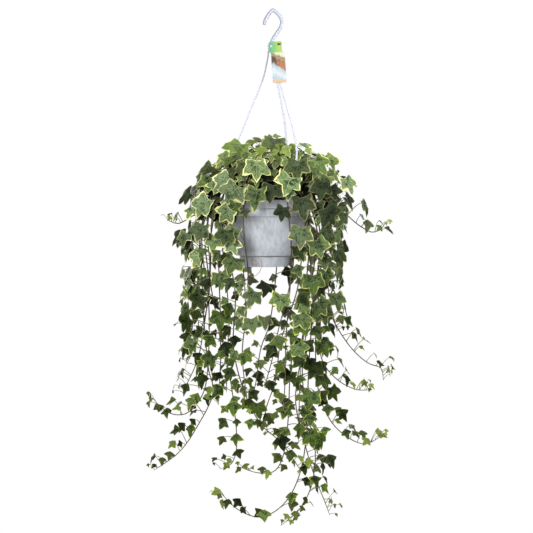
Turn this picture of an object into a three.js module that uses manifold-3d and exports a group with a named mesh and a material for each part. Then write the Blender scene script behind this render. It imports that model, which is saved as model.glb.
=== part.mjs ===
import * as THREE from 'three';
import { mergeVertices } from 'three/addons/utils/BufferGeometryUtils.js';
import Module from 'manifold-3d';

// Variegated English ivy in a plastic hanging pot, in millimetres, +Z up.
// The origin is the bight of the hook, the underside of its arch, where a bracket carries the plant.
// -Y is the front, from where the pot shows between two curtains of trailing stems.

const wasm = await Module();
wasm.setup();

// The pot hangs a little to the left of the hook's bight.
const POT_X = -13;
const RIM_TOP = -300;
const RIM_RADIUS = 75;
const WALL = 2;
const SHOULDER = RIM_TOP - 27;
const SHOULDER_RADIUS = 70;
const BODY_FOOT = RIM_TOP - 88;
const BODY_FOOT_RADIUS = 47;
const SPIGOT_FOOT = BODY_FOOT - 6;
const SPIGOT_RADIUS = 37.8;
const POT_SIDES = 28;

const SAUCER_FOOT = RIM_TOP - 106.5;
const SAUCER_RADIUS = 40.8;
const SAUCER_FOOT_RADIUS = 38.4;
const SAUCER_FLOOR = 1.8;

const DRAIN_HOLES = 4;
const DRAIN_RADIUS = 4;
const DRAIN_SIDES = 6;
const DRAIN_CIRCLE = 22;

const SOIL_TOP = RIM_TOP - 10;
const STEM_DEPTH = 12;

// Clear space between pieces that touch.
const GAP = 0.3;

const HOOK_WIDTH = 5.6;
const HOOK_DEPTH = 6;
const HUB_X = -3;
const HUB_TOP = -50;
const HUB_FOOT = -62;
const HUB_RADIUS = 6;
const PEG_RADIUS = 1.3;
const PEG_REACH = 11;

const STRAP_WIDTH = 3;
const STRAP_DEPTH = 2.2;
const CLIP_WIDTH = 8;
const CLIP_DROP = 12;
const CLIP_WALL = 2.2;

// The label leans forward off the front strap and is turned a little in its own plane.
const LABEL_THICKNESS = 0.8;
const LABEL_OUT = 8;
const LABEL_LEAN = 10 * Math.PI / 180;
const LABEL_TURN = -3.5 * Math.PI / 180;
const LABEL_HEAD = { left: -4, right: 15, top: 8, foot: -7, round: 3 };
const LABEL_PANEL = { left: -1, right: 21, top: -8, foot: -60 };

// Radii of stems and petioles, and thicknesses of blades.
const STEM_THICK = 1.4;
const STEM_THIN = 1;
const BLADE_CENTRE = 0.9;
const BLADE_EDGE = 0.6;
const PETIOLE_ROOT = 0.8;
const PETIOLE_TIP = 0.7;

// Blades are measured from the petiole to the tip of the middle lobe. Small ones have three lobes.
const LARGEST_BLADE = 36;
const SMALL_BLADE = 22;
const SMALLEST_BLADE = 14.5;

// Trailing stems root on two circles, rise over the rim and hang down outside it.
const OUTER_ROOTS = 57;
const INNER_ROOTS = 44;
const CREST_RADIUS = 66;
const CREST_RISE = 14;
const OVER_RIM_RADIUS = 84;
const OVER_RIM_RISE = 9;
const CREST_SPREAD = 16;

// The longest stretch of a stem, and the room that a petiole's foot needs at each end of it.
const STEM_STEP = 42;
const NODE_ROOM = 2.4;

// The crown's leaves lie like tiles on a dome: its middle, and its width, depth and height from there.
const CROWN_STEMS = 11;
const CROWN_CENTRE = [-2, -2, RIM_TOP - 8];
const CROWN_HALF = [130, 110, 101];
const CROWN_LEAVES = 150;
const CROWN_LOWEST = -0.16;
const CROWN_TRIES = 6;
const CROWN_NODE_STEP = 7;
const CROWN_STEMS_TO = 118;
const CROWN_FACES_UP = 0.3;
const CROWN_FACES_FRONT = 0.75;
const SHORTEST_PETIOLE = 15;
const LONGEST_PETIOLE = 68;

// The front of the pot is left to be seen. Below the rim the crown's blades keep a half width from
// its middle, and no blade at all starts in a window that widens down to the saucer.
const WINDOW_HALF = 48;
const WINDOW_FRONT = -70;
const WINDOW_TOP = RIM_TOP - 4;
const VIEW_HALF = 22;
const VIEW_SLOPE = 0.2;
const VIEW_FRONT = -55;
const VIEW_FOOT = RIM_TOP - 128;

// Stems shorter than this reach out of the crown's side, and grow their leaves before it closes.
const SPRIG_LENGTH = 230;

const FIRST_LEAF = 60;
const LEAF_TRIES = 24;

// Spacing of the points that are tested so that blades and petioles clear each other and the pot.
const SAMPLE_SPACING = 1.5;
const CELL = 3;
const CLEAR_OF_STEM = 7.5;
const CLEAR_OF_POT = 4;

const UP = new THREE.Vector3(0, 0, 1);
const FRONT = new THREE.Vector3(0, -1, 0);

const materials = {
  hanger: new THREE.MeshStandardMaterial({ color: 0xdfe4ee, roughness: 0.35, metalness: 0 }),
  pot: new THREE.MeshStandardMaterial({ color: 0xd4d6e2, roughness: 0.45, metalness: 0 }),
  soil: new THREE.MeshStandardMaterial({ color: 0x2b211a, roughness: 0.95, metalness: 0 }),
  label: new THREE.MeshStandardMaterial({ color: 0xe8dcc4, roughness: 0.5, metalness: 0 }),
  foliage: new THREE.MeshStandardMaterial({ color: 0x5d7a4c, roughness: 0.55, metalness: 0 }),
};

const plant = new THREE.Group();

function vector(x, y, z) {
  return new THREE.Vector3(x, y, z);
}

function turned(angle, radius, z) {
  return vector(POT_X + radius * Math.cos(angle), radius * Math.sin(angle), z);
}

// A closed geometry as a solid that can be joined and cut.
function solid(geometry) {
  const bare = geometry.clone();
  for (const name of Object.keys(bare.attributes)) {
    if (name !== 'position') bare.deleteAttribute(name);
  }
  const merged = mergeVertices(bare, 1e-4);
  const corners = merged.index.array;
  const kept = [];
  for (let i = 0; i < corners.length; i += 3) {
    const [a, b, c] = [corners[i], corners[i + 1], corners[i + 2]];
    if (a !== b && b !== c && c !== a) kept.push(a, b, c);
  }
  return new wasm.Manifold(new wasm.Mesh({
    numProp: 3,
    vertProperties: new Float32Array(merged.attributes.position.array),
    triVerts: new Uint32Array(kept),
  }));
}

function addPiece(name, body, material) {
  const mesh = body.getMesh();
  const geometry = new THREE.BufferGeometry();
  geometry.setAttribute('position', new THREE.BufferAttribute(new Float32Array(mesh.vertProperties), 3));
  geometry.setIndex(new THREE.BufferAttribute(new Uint32Array(mesh.triVerts), 1));
  geometry.computeVertexNormals();
  const piece = new THREE.Mesh(geometry, material);
  piece.name = name;
  plant.add(piece);
}

// A profile of radius and height pairs, from the axis round to the axis, turned about the pot's axis.
function turnedSolid(profile, sides) {
  const points = profile.map(([radius, z]) => new THREE.Vector2(radius, z));
  const geometry = new THREE.LatheGeometry(points, sides);
  geometry.rotateX(Math.PI / 2);
  geometry.translate(POT_X, 0, 0);
  return solid(geometry);
}

function upright(radius, height, sides, x, y, foot) {
  const geometry = new THREE.CylinderGeometry(radius, radius, height, sides);
  geometry.rotateX(Math.PI / 2);
  geometry.translate(x, y, foot + height / 2);
  return solid(geometry);
}

// The outer wall has a rim band, a second band under it, a plain cone and a spigot for the saucer.
function buildPot() {
  let pot = turnedSolid([
    [0, SPIGOT_FOOT],
    [SPIGOT_RADIUS, SPIGOT_FOOT],
    [SPIGOT_RADIUS, BODY_FOOT - 1.5],
    [BODY_FOOT_RADIUS - 1, BODY_FOOT - 1],
    [BODY_FOOT_RADIUS, BODY_FOOT],
    [SHOULDER_RADIUS, SHOULDER],
    [SHOULDER_RADIUS + 1.2, SHOULDER + 1],
    [RIM_RADIUS - 2, RIM_TOP - 15],
    [RIM_RADIUS - 1.6, RIM_TOP - 14],
    [RIM_RADIUS - 0.6, RIM_TOP - 13],
    [RIM_RADIUS, RIM_TOP - 1],
    [RIM_RADIUS - 0.8, RIM_TOP],
    [RIM_RADIUS - WALL - 0.6, RIM_TOP],
    [RIM_RADIUS - WALL - 1, RIM_TOP - 1],
    [RIM_RADIUS - WALL - 2, RIM_TOP - 14],
    [SHOULDER_RADIUS - WALL, SHOULDER],
    [BODY_FOOT_RADIUS - WALL, BODY_FOOT + 1],
    [SPIGOT_RADIUS - WALL, BODY_FOOT + 0.5],
    [SPIGOT_RADIUS - WALL, SPIGOT_FOOT + WALL],
    [0, SPIGOT_FOOT + WALL],
  ], POT_SIDES);
  for (let i = 0; i < DRAIN_HOLES; i += 1) {
    const hole = turned((i + 0.5) * 2 * Math.PI / DRAIN_HOLES, DRAIN_CIRCLE, SPIGOT_FOOT - 1);
    pot = pot.subtract(upright(DRAIN_RADIUS, WALL + 2, DRAIN_SIDES, hole.x, hole.y, hole.z));
  }
  addPiece('pot', pot, materials.pot);
}

// The drip saucer clips on round the pot's spigot and leaves a space for water under it.
function buildSaucer() {
  const top = BODY_FOOT - 2;
  const inner = SPIGOT_RADIUS + GAP;
  addPiece('drip_saucer', turnedSolid([
    [0, SAUCER_FOOT + 1],
    [SAUCER_FOOT_RADIUS - 5, SAUCER_FOOT + 1],
    [SAUCER_FOOT_RADIUS - 4, SAUCER_FOOT],
    [SAUCER_FOOT_RADIUS - 0.8, SAUCER_FOOT],
    [SAUCER_FOOT_RADIUS, SAUCER_FOOT + 1],
    [SAUCER_RADIUS, top - 0.6],
    [SAUCER_RADIUS - 0.6, top],
    [inner, top],
    [inner, top - 6],
    [SAUCER_FOOT_RADIUS - WALL, SAUCER_FOOT + 1 + SAUCER_FLOOR],
    [0, SAUCER_FOOT + 1 + SAUCER_FLOOR],
  ], POT_SIDES), materials.pot);
}

// A closed body through rings of points, each ring given anticlockwise as seen from its far end.
function loft(rings) {
  const sides = rings[0].length;
  const positions = rings.flat().flatMap((point) => [point.x, point.y, point.z]);
  const faces = [];
  for (let ring = 0; ring + 1 < rings.length; ring += 1) {
    for (let side = 0; side < sides; side += 1) {
      const next = (side + 1) % sides;
      const [a, b] = [ring * sides + side, ring * sides + next];
      faces.push(a, b, b + sides, a, b + sides, a + sides);
    }
  }
  const last = (rings.length - 1) * sides;
  for (let side = 1; side + 1 < sides; side += 1) {
    faces.push(0, side + 1, side);
    faces.push(last, last + side, last + side + 1);
  }
  const geometry = new THREE.BufferGeometry();
  geometry.setAttribute('position', new THREE.Float32BufferAttribute(positions, 3));
  geometry.setIndex(faces);
  return geometry;
}

// Points of a smooth line through the knots, no further apart than the step.
function smoothLine(knots, step) {
  const line = [];
  for (let i = 0; i + 1 < knots.length; i += 1) {
    const before = knots[Math.max(i - 1, 0)];
    const from = knots[i];
    const to = knots[i + 1];
    const after = knots[Math.min(i + 2, knots.length - 1)];
    const parts = Math.max(1, Math.ceil(from.distanceTo(to) / step));
    for (let part = 0; part < parts; part += 1) {
      const t = part / parts;
      const point = from.clone().multiplyScalar(2 - 5 * t * t + 3 * t * t * t);
      point.addScaledVector(before, -t + 2 * t * t - t * t * t);
      point.addScaledVector(to, t + 4 * t * t - 3 * t * t * t);
      point.addScaledVector(after, -t * t + t * t * t);
      line.push(point.multiplyScalar(0.5));
    }
  }
  line.push(knots[knots.length - 1].clone());
  return line;
}

// Two unit vectors across a direction, turned as little as possible from the last pair.
function across(direction, lastSide) {
  const side = lastSide.clone().addScaledVector(direction, -lastSide.dot(direction)).normalize();
  return [side, direction.clone().cross(side)];
}

// Sections of a rod along a line of points, given as pairs of sideways and upward shifts.
function sections(line, firstSide, outline, thicknessAt) {
  const rings = [];
  let side = firstSide;
  let rise;
  for (let i = 0; i < line.length; i += 1) {
    const before = line[Math.max(i - 1, 0)];
    const after = line[Math.min(i + 1, line.length - 1)];
    const direction = after.clone().sub(before).normalize();
    [side, rise] = across(direction, side);
    const thickness = thicknessAt(i / (line.length - 1));
    const ring = [];
    for (const [u, v] of outline) {
      const point = line[i].clone().addScaledVector(side, u * thickness);
      ring.push(point.addScaledVector(rise, v * thickness));
    }
    rings.push(ring);
  }
  return rings;
}

function bevelledSection(width, depth, bevel) {
  const [w, d] = [width / 2, depth / 2];
  return [
    [w, -d + bevel], [w, d - bevel], [w - bevel, d], [-w + bevel, d],
    [-w, d - bevel], [-w, -d + bevel], [-w + bevel, -d], [w - bevel, -d],
  ];
}

// The hook's centre line, from its free tip over the arch and down to the hub.
const HOOK_ROUTE = [
  [-14, -19], [-12, -12.5], [-8.5, -6.5], [-3.5, 0.5], [0, 2.8], [3.5, 1.2], [7.5, -2.5],
  [11.5, -7.5], [14, -14.5], [13.5, -20.5], [11, -26.5], [6, -34], [1, -41.5], [-2, -48], [HUB_X, -56],
];

// The three hanger straps, from the hub down to the pot's rim: left, front and back.
// Each route holds x, y and z of its points, and the angle is where it clips on to the rim.
const STRAPS = [
  ['left', 183, [
    [-7.5, 0, -68], [-16, -1, -107], [-36, -2.5, -157], [-49, -3.5, -189], [-66, -4.5, -229], [-81, -5, -268],
  ]],
  ['front', 300, [
    [0, -4.5, -74], [11, -13, -114], [23, -31, -157], [32, -45, -192], [37, -56, -226], [32, -62, -264],
  ]],
  ['back', 69, [
    [-1, 3.5, -68], [7, 19, -114], [16, 36, -157], [21, 49, -192], [22, 61, -226], [18, 68, -264],
  ]],
];

function buildHook() {
  const line = smoothLine(HOOK_ROUTE.map(([x, z]) => vector(x, 0, z)), 20);
  const section = bevelledSection(HOOK_DEPTH, HOOK_WIDTH, 1);
  const bar = solid(loft(sections(line, vector(0, 1, 0), section, () => 1)));
  const hub = upright(HUB_RADIUS, HUB_TOP - HUB_FOOT, 16, HUB_X, 0, HUB_FOOT);
  const peg = new THREE.CylinderGeometry(PEG_RADIUS, PEG_RADIUS, PEG_REACH, 8);
  peg.translate(HUB_X, -PEG_REACH / 2, (HUB_TOP + HUB_FOOT) / 2);
  addPiece('hanger_hook', bar.add(hub).add(solid(peg)), materials.hanger);
}

// A clip in the shape of an upside-down U sits over the rim with its strap rising from its top.
function clipOutline() {
  const inside = RIM_RADIUS - WALL - 2 - GAP;
  const outside = RIM_RADIUS + GAP;
  const top = RIM_TOP + GAP;
  const foot = RIM_TOP - CLIP_DROP;
  const outline = new THREE.Shape();
  outline.moveTo(outside, foot);
  outline.lineTo(outside + CLIP_WALL, foot);
  outline.lineTo(outside + CLIP_WALL, top + CLIP_WALL);
  outline.lineTo(inside - CLIP_WALL, top + CLIP_WALL);
  outline.lineTo(inside - CLIP_WALL, foot + 3);
  outline.lineTo(inside, foot + 3);
  outline.lineTo(inside, top);
  outline.lineTo(outside, top);
  outline.closePath();
  return outline;
}

function strapLine(route, angle, step) {
  const knots = [vector(route[0][0], route[0][1], HUB_FOOT - GAP)];
  for (const [x, y, z] of route) knots.push(vector(x, y, z));
  knots.push(turned(angle, RIM_RADIUS - 1, RIM_TOP + 1.5));
  return smoothLine(knots, step);
}

function buildStrap(name, degrees, route) {
  const angle = degrees * Math.PI / 180;
  const radial = vector(Math.cos(angle), Math.sin(angle), 0);
  const tangent = vector(-Math.sin(angle), Math.cos(angle), 0);
  const section = bevelledSection(STRAP_WIDTH, STRAP_DEPTH, 0.6);
  const strap = solid(loft(sections(strapLine(route, angle, 60), tangent, section, () => 1)));
  const clip = new THREE.ExtrudeGeometry(clipOutline(), { depth: CLIP_WIDTH, bevelEnabled: false });
  clip.translate(0, 0, -CLIP_WIDTH / 2);
  const place = new THREE.Matrix4().makeBasis(radial, UP, tangent.clone().negate());
  place.setPosition(POT_X, 0, 0);
  clip.applyMatrix4(place);
  addPiece('hanger_strap_' + name, strap.add(solid(clip)), materials.hanger);
}

// A plain hang tag on the hub's peg: a rounded head over a long panel.
function buildLabel() {
  const [head, panel] = [LABEL_HEAD, LABEL_PANEL];
  const outline = new THREE.Shape();
  outline.moveTo(panel.left, panel.foot);
  outline.lineTo(panel.right, panel.foot);
  outline.lineTo(panel.right, panel.top);
  outline.lineTo(head.right, head.foot);
  outline.lineTo(head.right, head.top - head.round);
  outline.quadraticCurveTo(head.right, head.top, head.right - head.round, head.top);
  outline.lineTo(head.left + head.round, head.top);
  outline.quadraticCurveTo(head.left, head.top, head.left, head.top - head.round);
  outline.lineTo(head.left, head.foot);
  outline.lineTo(panel.left, panel.top);
  outline.closePath();
  const hole = new THREE.Path();
  hole.absarc(0, 0, PEG_RADIUS + 2 * GAP, 0, 2 * Math.PI, true);
  outline.holes.push(hole);
  const geometry = new THREE.ExtrudeGeometry(outline, {
    depth: LABEL_THICKNESS, bevelEnabled: false, curveSegments: 5,
  });
  geometry.rotateX(Math.PI / 2);
  geometry.rotateY(LABEL_TURN);
  geometry.rotateX(-LABEL_LEAN);
  geometry.translate(HUB_X, -LABEL_OUT, (HUB_TOP + HUB_FOOT) / 2);
  addPiece('plant_label', solid(geometry), materials.label);
}

// Draws that are the same each time, from a multiplicative generator.
class Draws {
  constructor(seed) {
    this.state = seed;
  }

  between(low, high) {
    this.state = (this.state * 16807) % 2147483647;
    return low + (high - low) * this.state / 2147483647;
  }
}

// Cells that stems, petioles and blades already fill, so that no two cross.
class Filled {
  constructor(low, high, cell) {
    this.low = low;
    this.cell = cell;
    this.counts = high.map((value, i) => Math.ceil((value - low[i]) / cell));
    this.cells = new Uint8Array(this.counts[0] * this.counts[1] * this.counts[2]);
  }

  place(point) {
    return [
      Math.floor((point.x - this.low[0]) / this.cell),
      Math.floor((point.y - this.low[1]) / this.cell),
      Math.floor((point.z - this.low[2]) / this.cell),
    ];
  }

  mark(points) {
    for (const point of points) {
      const [x, y, z] = this.place(point);
      for (let i = x - 1; i <= x + 1; i += 1) {
        for (let j = y - 1; j <= y + 1; j += 1) {
          const row = (i * this.counts[1] + j) * this.counts[2] + z;
          this.cells.fill(1, row - 1, row + 2);
        }
      }
    }
  }

  free(points) {
    for (const point of points) {
      const [x, y, z] = this.place(point);
      if (this.cells[(x * this.counts[1] + y) * this.counts[2] + z]) return false;
    }
    return true;
  }
}

// Corners of a blade's outline from the tip round to the tip again: the angle from the midrib and
// the distance from the petiole, as a share of the middle lobe. Tips and bays alternate.
const FIVE_LOBES = [
  [0, 1], [28, 0.58], [56, 0.86], [90, 0.53], [124, 0.62],
  [180, 0.16], [-124, 0.62], [-90, 0.53], [-56, 0.86], [-28, 0.58],
];
const THREE_LOBES = [[0, 1], [33, 0.55], [68, 0.74], [180, 0.24], [-68, 0.74], [-33, 0.55]];

// A blade folds up along its midrib and its tips bend back.
function bladeCorners(leaf) {
  const { joint, sideways, along, face, size, fold, bend } = leaf;
  return leaf.lobes.map(([degrees, reach]) => {
    const angle = degrees * Math.PI / 180;
    const across = Math.sin(angle) * reach;
    const height = fold * Math.abs(across) - bend * reach * reach;
    const corner = joint.clone().addScaledVector(sideways, across * size * leaf.breadth);
    corner.addScaledVector(along, Math.cos(angle) * reach * size);
    return corner.addScaledVector(face, height * size);
  });
}

// Where the samples of a blade lie: its share of the way out, and between which corners.
function bladePattern(corners, size, spacing) {
  const pattern = [];
  const rows = Math.ceil(size / spacing);
  for (let row = 1; row <= rows; row += 1) {
    const out = row / rows;
    const parts = Math.ceil(out * size * 0.7 / spacing);
    for (let corner = 0; corner < corners; corner += 1) {
      for (let part = 0; part < parts; part += 1) pattern.push([out, corner, part / parts]);
    }
  }
  return pattern;
}

const bladePatterns = new Map([FIVE_LOBES, THREE_LOBES].map((lobes) => [
  lobes, bladePattern(lobes.length, LARGEST_BLADE, SAMPLE_SPACING),
]));

function bladeSamples(leaf) {
  const corners = bladeCorners(leaf);
  const samples = [];
  for (const [out, corner, share] of bladePatterns.get(leaf.lobes)) {
    const edge = corners[corner].clone().lerp(corners[(corner + 1) % corners.length], share);
    samples.push(edge.lerp(leaf.joint, 1 - out));
  }
  return samples;
}

function lineSamples(from, to, start) {
  const samples = [];
  const length = from.distanceTo(to);
  const parts = Math.ceil(length / SAMPLE_SPACING);
  for (let part = 0; part <= parts; part += 1) {
    if (length * part / parts >= start) samples.push(from.clone().lerp(to, part / parts));
  }
  return samples;
}

// The pot's outline with room round it, for keeping leaves off it.
function insidePot(point) {
  const out = Math.hypot(point.x - POT_X, point.y);
  if (point.z > RIM_TOP + CLEAR_OF_POT || point.z < SAUCER_FOOT - CLEAR_OF_POT) return false;
  const share = Math.min(1, (SHOULDER - point.z) / (SHOULDER - BODY_FOOT));
  const cone = SHOULDER_RADIUS + (BODY_FOOT_RADIUS - SHOULDER_RADIUS) * share;
  return out < (point.z > SHOULDER ? RIM_RADIUS + 1 : cone) + CLEAR_OF_POT;
}

// Whether a point of a petiole is in the pot's rim or wall, or down at its soil.
function insideWall(point) {
  const atWall = Math.hypot(point.x - POT_X, point.y) > RIM_RADIUS - 8;
  return insidePot(point) && (atWall || point.z < SOIL_TOP + 2);
}

// Whether a blade that starts here would hang over the front of the pot.
function inView(point) {
  if (point.y > VIEW_FRONT || point.z > WINDOW_TOP || point.z < VIEW_FOOT) return false;
  return Math.abs(point.x - POT_X) < VIEW_HALF + VIEW_SLOPE * (RIM_TOP - point.z);
}

// Corners of a stem's three-sided section.
const TRIANGLE = [[1, 0], [-0.5, Math.sqrt(0.75)], [-0.5, -Math.sqrt(0.75)]];

// A stem, with the places of its points measured along it. Each side face of a stretch of it can
// carry one petiole.
class Stem {
  constructor(name, knots, thick, thin) {
    this.name = name;
    this.line = smoothLine(knots, STEM_STEP);
    this.leaves = [];
    this.taken = new Set();
    this.ends = [0];
    for (let i = 1; i < this.line.length; i += 1) {
      this.ends.push(this.ends[i - 1] + this.line[i].distanceTo(this.line[i - 1]));
    }
    this.length = this.ends[this.ends.length - 1];
    const radiusAt = (share) => thick + (thin - thick) * share;
    this.rings = sections(this.line, outward(this.line[1]), TRIANGLE, radiusAt);
  }

  // The stretch, the point and the stem's direction there, at a distance along it.
  at(distance) {
    let i = 1;
    while (i < this.line.length - 1 && this.ends[i] < distance) i += 1;
    const span = this.ends[i] - this.ends[i - 1];
    const room = NODE_ROOM / span;
    const share = Math.min(1 - room, Math.max(room, (distance - this.ends[i - 1]) / span));
    const point = this.line[i - 1].clone().lerp(this.line[i], share);
    return [i - 1, share, point, this.line[i].clone().sub(this.line[i - 1]).normalize()];
  }

  // The free side face of a stretch that looks most along a direction, or -1 if none looks that way.
  faceTowards(stretch, direction) {
    let best = -1;
    let most = 0.35;
    for (let side = 0; side < 3; side += 1) {
      if (this.taken.has(stretch * 3 + side)) continue;
      const middle = this.rings[stretch][side].clone().add(this.rings[stretch][(side + 1) % 3]);
      const facing = middle.multiplyScalar(0.5).sub(this.line[stretch]).normalize().dot(direction);
      if (facing > most) {
        most = facing;
        best = side;
      }
    }
    return best;
  }
}

// Trailing stems, in the order of their places round the pot. Each route starts where the stem has
// come over the rim, and holds x, y and z of its points down to the tip.
const TRAILING = [
  // Left curtain
  [[-97, -56, -345], [-86, -54, -400], [-84, -50, -445], [-80, -48, -517], [-66, -48, -589],
    [-58, -44, -659], [-58, -42, -694], [-66, -41, -716], [-84, -40, -724]],
  [[-106, -45, -352], [-104, -41, -400], [-96, -38, -448], [-83, -37, -525], [-84, -37, -580],
    [-86, -37, -624]],
  [[-112, -31, -345], [-109, -27, -410], [-102, -25, -462], [-102, -25, -541], [-109, -25, -602],
    [-133, -25, -636], [-158, -26, -640], [-180, -28, -626], [-190, -30, -612]],
  [[-110, -17, -318], [-128, -16, -326], [-150, -17, -338], [-168, -20, -332]],
  [[-116, 5, -352], [-114, 4, -413], [-112, 2, -475], [-104, 0, -566], [-96, -2, -610],
    [-122, -5, -664], [-150, -7, -703], [-190, -8, -732]],
  [[-106, 22, -350], [-102, 22, -400], [-104, 20, -450], [-112, 20, -510], [-122, 20, -560],
    [-146, 20, -612]],
  [[-114, 42, -345], [-120, 42, -385], [-122, 40, -430], [-128, 40, -480], [-132, 38, -520]],
  [[-100, 58, -350], [-102, 56, -410], [-106, 54, -469], [-120, 52, -520], [-140, 48, -568]],
  [[-84, 76, -352], [-78, 68, -421], [-72, 60, -490], [-74, 56, -550], [-76, 56, -616]],
  [[-52, 90, -350], [-50, 84, -400], [-46, 76, -450], [-44, 70, -520]],
  // Behind the pot
  [[-20, 94, -345], [-21, 90, -372], [-19, 88, -398]],
  [[8, 95, -345], [7, 86, -400], [2, 72, -455], [-6, 60, -506], [-20, 55, -545], [-28, 52, -600],
    [-37, 50, -632]],
  // Right curtain
  [[34, 86, -350], [34, 82, -405], [24, 80, -460], [10, 78, -512], [0, 77, -560], [-14, 76, -610]],
  [[52, 74, -350], [62, 72, -405], [60, 68, -461], [48, 65, -530], [44, 64, -613], [42, 64, -700]],
  [[70, 66, -340], [79, 64, -380], [88, 60, -426], [94, 55, -470], [105, 52, -516]],
  [[76, 46, -350], [72, 42, -421], [58, 38, -500], [40, 34, -590], [38, 34, -640], [56, 34, -712],
    [68, 34, -750], [84, 34, -790], [92, 34, -812]],
  [[84, 30, -350], [84, 27, -405], [84, 24, -455], [98, 22, -496], [125, 20, -538], [152, 20, -563],
    [174, 20, -572], [178, 20, -592]],
  [[86, 13, -352], [82, 12, -413], [76, 8, -500], [78, 7, -555], [102, 7, -588], [131, 7, -604],
    [154, 7, -606]],
  [[96, 1, -310], [115, 1, -322], [136, 2, -340], [157, 4, -352], [172, 5, -348], [180, 6, -338]],
  [[79, -12, -350], [75, -12, -421], [68, -8, -520], [72, -6, -602], [90, -6, -650], [117, -6, -678],
    [147, -6, -690], [175, -6, -676]],
  [[79, -27, -345], [72, -27, -410], [62, -23, -490], [56, -20, -580], [54, -19, -660],
    [44, -19, -730], [20, -19, -780], [-18, -19, -804], [-56, -19, -792], [-83, -19, -765]],
  [[68, -50, -345], [64, -48, -405], [54, -40, -461], [46, -34, -545], [50, -33, -620],
    [66, -33, -690], [62, -33, -745], [44, -33, -786], [12, -33, -815]],
  [[56, -66, -345], [54, -60, -405], [44, -52, -480], [28, -46, -560], [24, -43, -640],
    [18, -41, -695], [4, -39, -726], [-20, -38, -731], [-47, -38, -724]],
  [[50, -78, -345], [43, -76, -400], [36, -72, -445], [12, -68, -520], [4, -68, -580],
    [-12, -68, -630], [-8, -68, -664]],
  [[25, -90, -335], [28, -86, -378], [26, -82, -437], [20, -80, -510], [18, -79, -590], [14, -78, -630]],
  // Front left, past the pot's side
  [[-46, -88, -330], [-43, -84, -375], [-39, -78, -413], [-42, -74, -480], [-48, -72, -544],
    [-38, -70, -630]],
  [[-72, -76, -340], [-68, -70, -390], [-59, -62, -450], [-62, -59, -530], [-46, -58, -598],
    [-20, -56, -650], [14, -54, -682], [44, -51, -726]],
];

const draws = new Draws(20417);

function trailingStem(route, index) {
  const [x, y] = route[0];
  const angle = Math.atan2(y, x - POT_X);
  const root = index % 2 === 0 ? OUTER_ROOTS : INNER_ROOTS;
  const lift = draws.between(0, CREST_SPREAD);
  const knots = [
    turned(angle, root, SOIL_TOP - STEM_DEPTH + GAP),
    turned(angle, root, RIM_TOP - 5),
    turned(angle, CREST_RADIUS, RIM_TOP + CREST_RISE + lift),
    turned(angle, OVER_RIM_RADIUS, RIM_TOP + OVER_RIM_RISE + lift),
  ];
  for (const point of route) knots.push(vector(...point));
  return new Stem('trailing_stem_' + String(index + 1).padStart(2, '0'), knots, STEM_THICK, STEM_THIN);
}

const GOLDEN_ANGLE = Math.PI * (3 - Math.sqrt(5));

// Short upright stems in the middle of the pot, which arch outwards and carry the crown.
function crownStem(index) {
  const angle = index * GOLDEN_ANGLE + 0.35;
  const root = 8 + 26 * Math.sqrt((index + 0.5) / CROWN_STEMS);
  const height = draws.between(44, 66);
  const reach = draws.between(34, 58);
  const sway = draws.between(-0.15, 0.15);
  const knots = [
    turned(angle, root, SOIL_TOP - STEM_DEPTH + GAP),
    turned(angle, root, RIM_TOP - 5),
    turned(angle, root + 7, RIM_TOP + height * 0.6),
    turned(angle + sway, root + reach * 0.6, RIM_TOP + height),
    turned(angle + 2 * sway, root + reach, RIM_TOP + height - 4),
  ];
  return new Stem('crown_stem_' + String(index + 1).padStart(2, '0'), knots, STEM_THICK, STEM_THIN);
}

const stems = TRAILING.map(trailingStem);
for (let i = 0; i < CROWN_STEMS; i += 1) stems.push(crownStem(i));

const filled = new Filled([-300, -220, -880], [290, 220, -40], CELL);

function outward(point) {
  return vector(point.x - POT_X, point.y, 0).normalize();
}

// 1 where the plant is seen from the front, falling to 0 behind.
function frontShare(point) {
  return Math.min(1, Math.max(0, (50 - point.y) / 60));
}

// The way a blade faces: away from the pot and up to the light, and more to the front on that side.
function towardsLight(point, rise) {
  const front = frontShare(point);
  const light = outward(point).multiplyScalar(1 - 0.45 * front);
  return light.addScaledVector(FRONT, 0.75 * front).addScaledVector(UP, rise).normalize();
}

// A leaf whose blade faces one way and points another, on a petiole from a node of a stem.
function makeLeaf(node, joint, face, pointing, size) {
  const along = pointing.clone().addScaledVector(face, -pointing.dot(face)).normalize();
  return {
    node,
    root: node.point,
    joint,
    face,
    along,
    sideways: along.clone().cross(face),
    size,
    lobes: size < SMALL_BLADE ? THREE_LOBES : FIVE_LOBES,
    breadth: draws.between(0.88, 1.06),
    fold: draws.between(0.05, 0.4),
    bend: draws.between(0.08, 0.38),
  };
}

// A leaf fits if its petiole leaves a free face of the stem and neither it nor its blade crosses anything.
function fits(leaf) {
  const rising = leaf.joint.clone().sub(leaf.root).normalize();
  if (rising.dot(leaf.face) < 0.3 || inView(leaf.joint)) return false;
  leaf.side = leaf.node.stem.faceTowards(leaf.node.stretch, rising);
  if (leaf.side < 0) return false;
  const blade = bladeSamples(leaf);
  if (blade.some(insidePot)) return false;
  const petiole = lineSamples(leaf.root, leaf.joint, CLEAR_OF_STEM);
  return !petiole.some(insideWall) && filled.free(blade) && filled.free(petiole);
}

function grow(leaf) {
  leaf.node.stem.leaves.push(leaf);
  leaf.node.stem.taken.add(leaf.node.stretch * 3 + leaf.side);
  filled.mark(bladeSamples(leaf));
  filled.mark(lineSamples(leaf.root, leaf.joint, 0));
}

for (const stem of stems) {
  for (let i = 1; i < stem.line.length; i += 1) {
    filled.mark(lineSamples(stem.line[i - 1], stem.line[i], 0));
  }
}
for (const [, degrees, route] of STRAPS) {
  const line = strapLine(route, degrees * Math.PI / 180, 60);
  for (let i = 1; i < line.length; i += 1) filled.mark(lineSamples(line[i - 1], line[i], 0));
}

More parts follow.
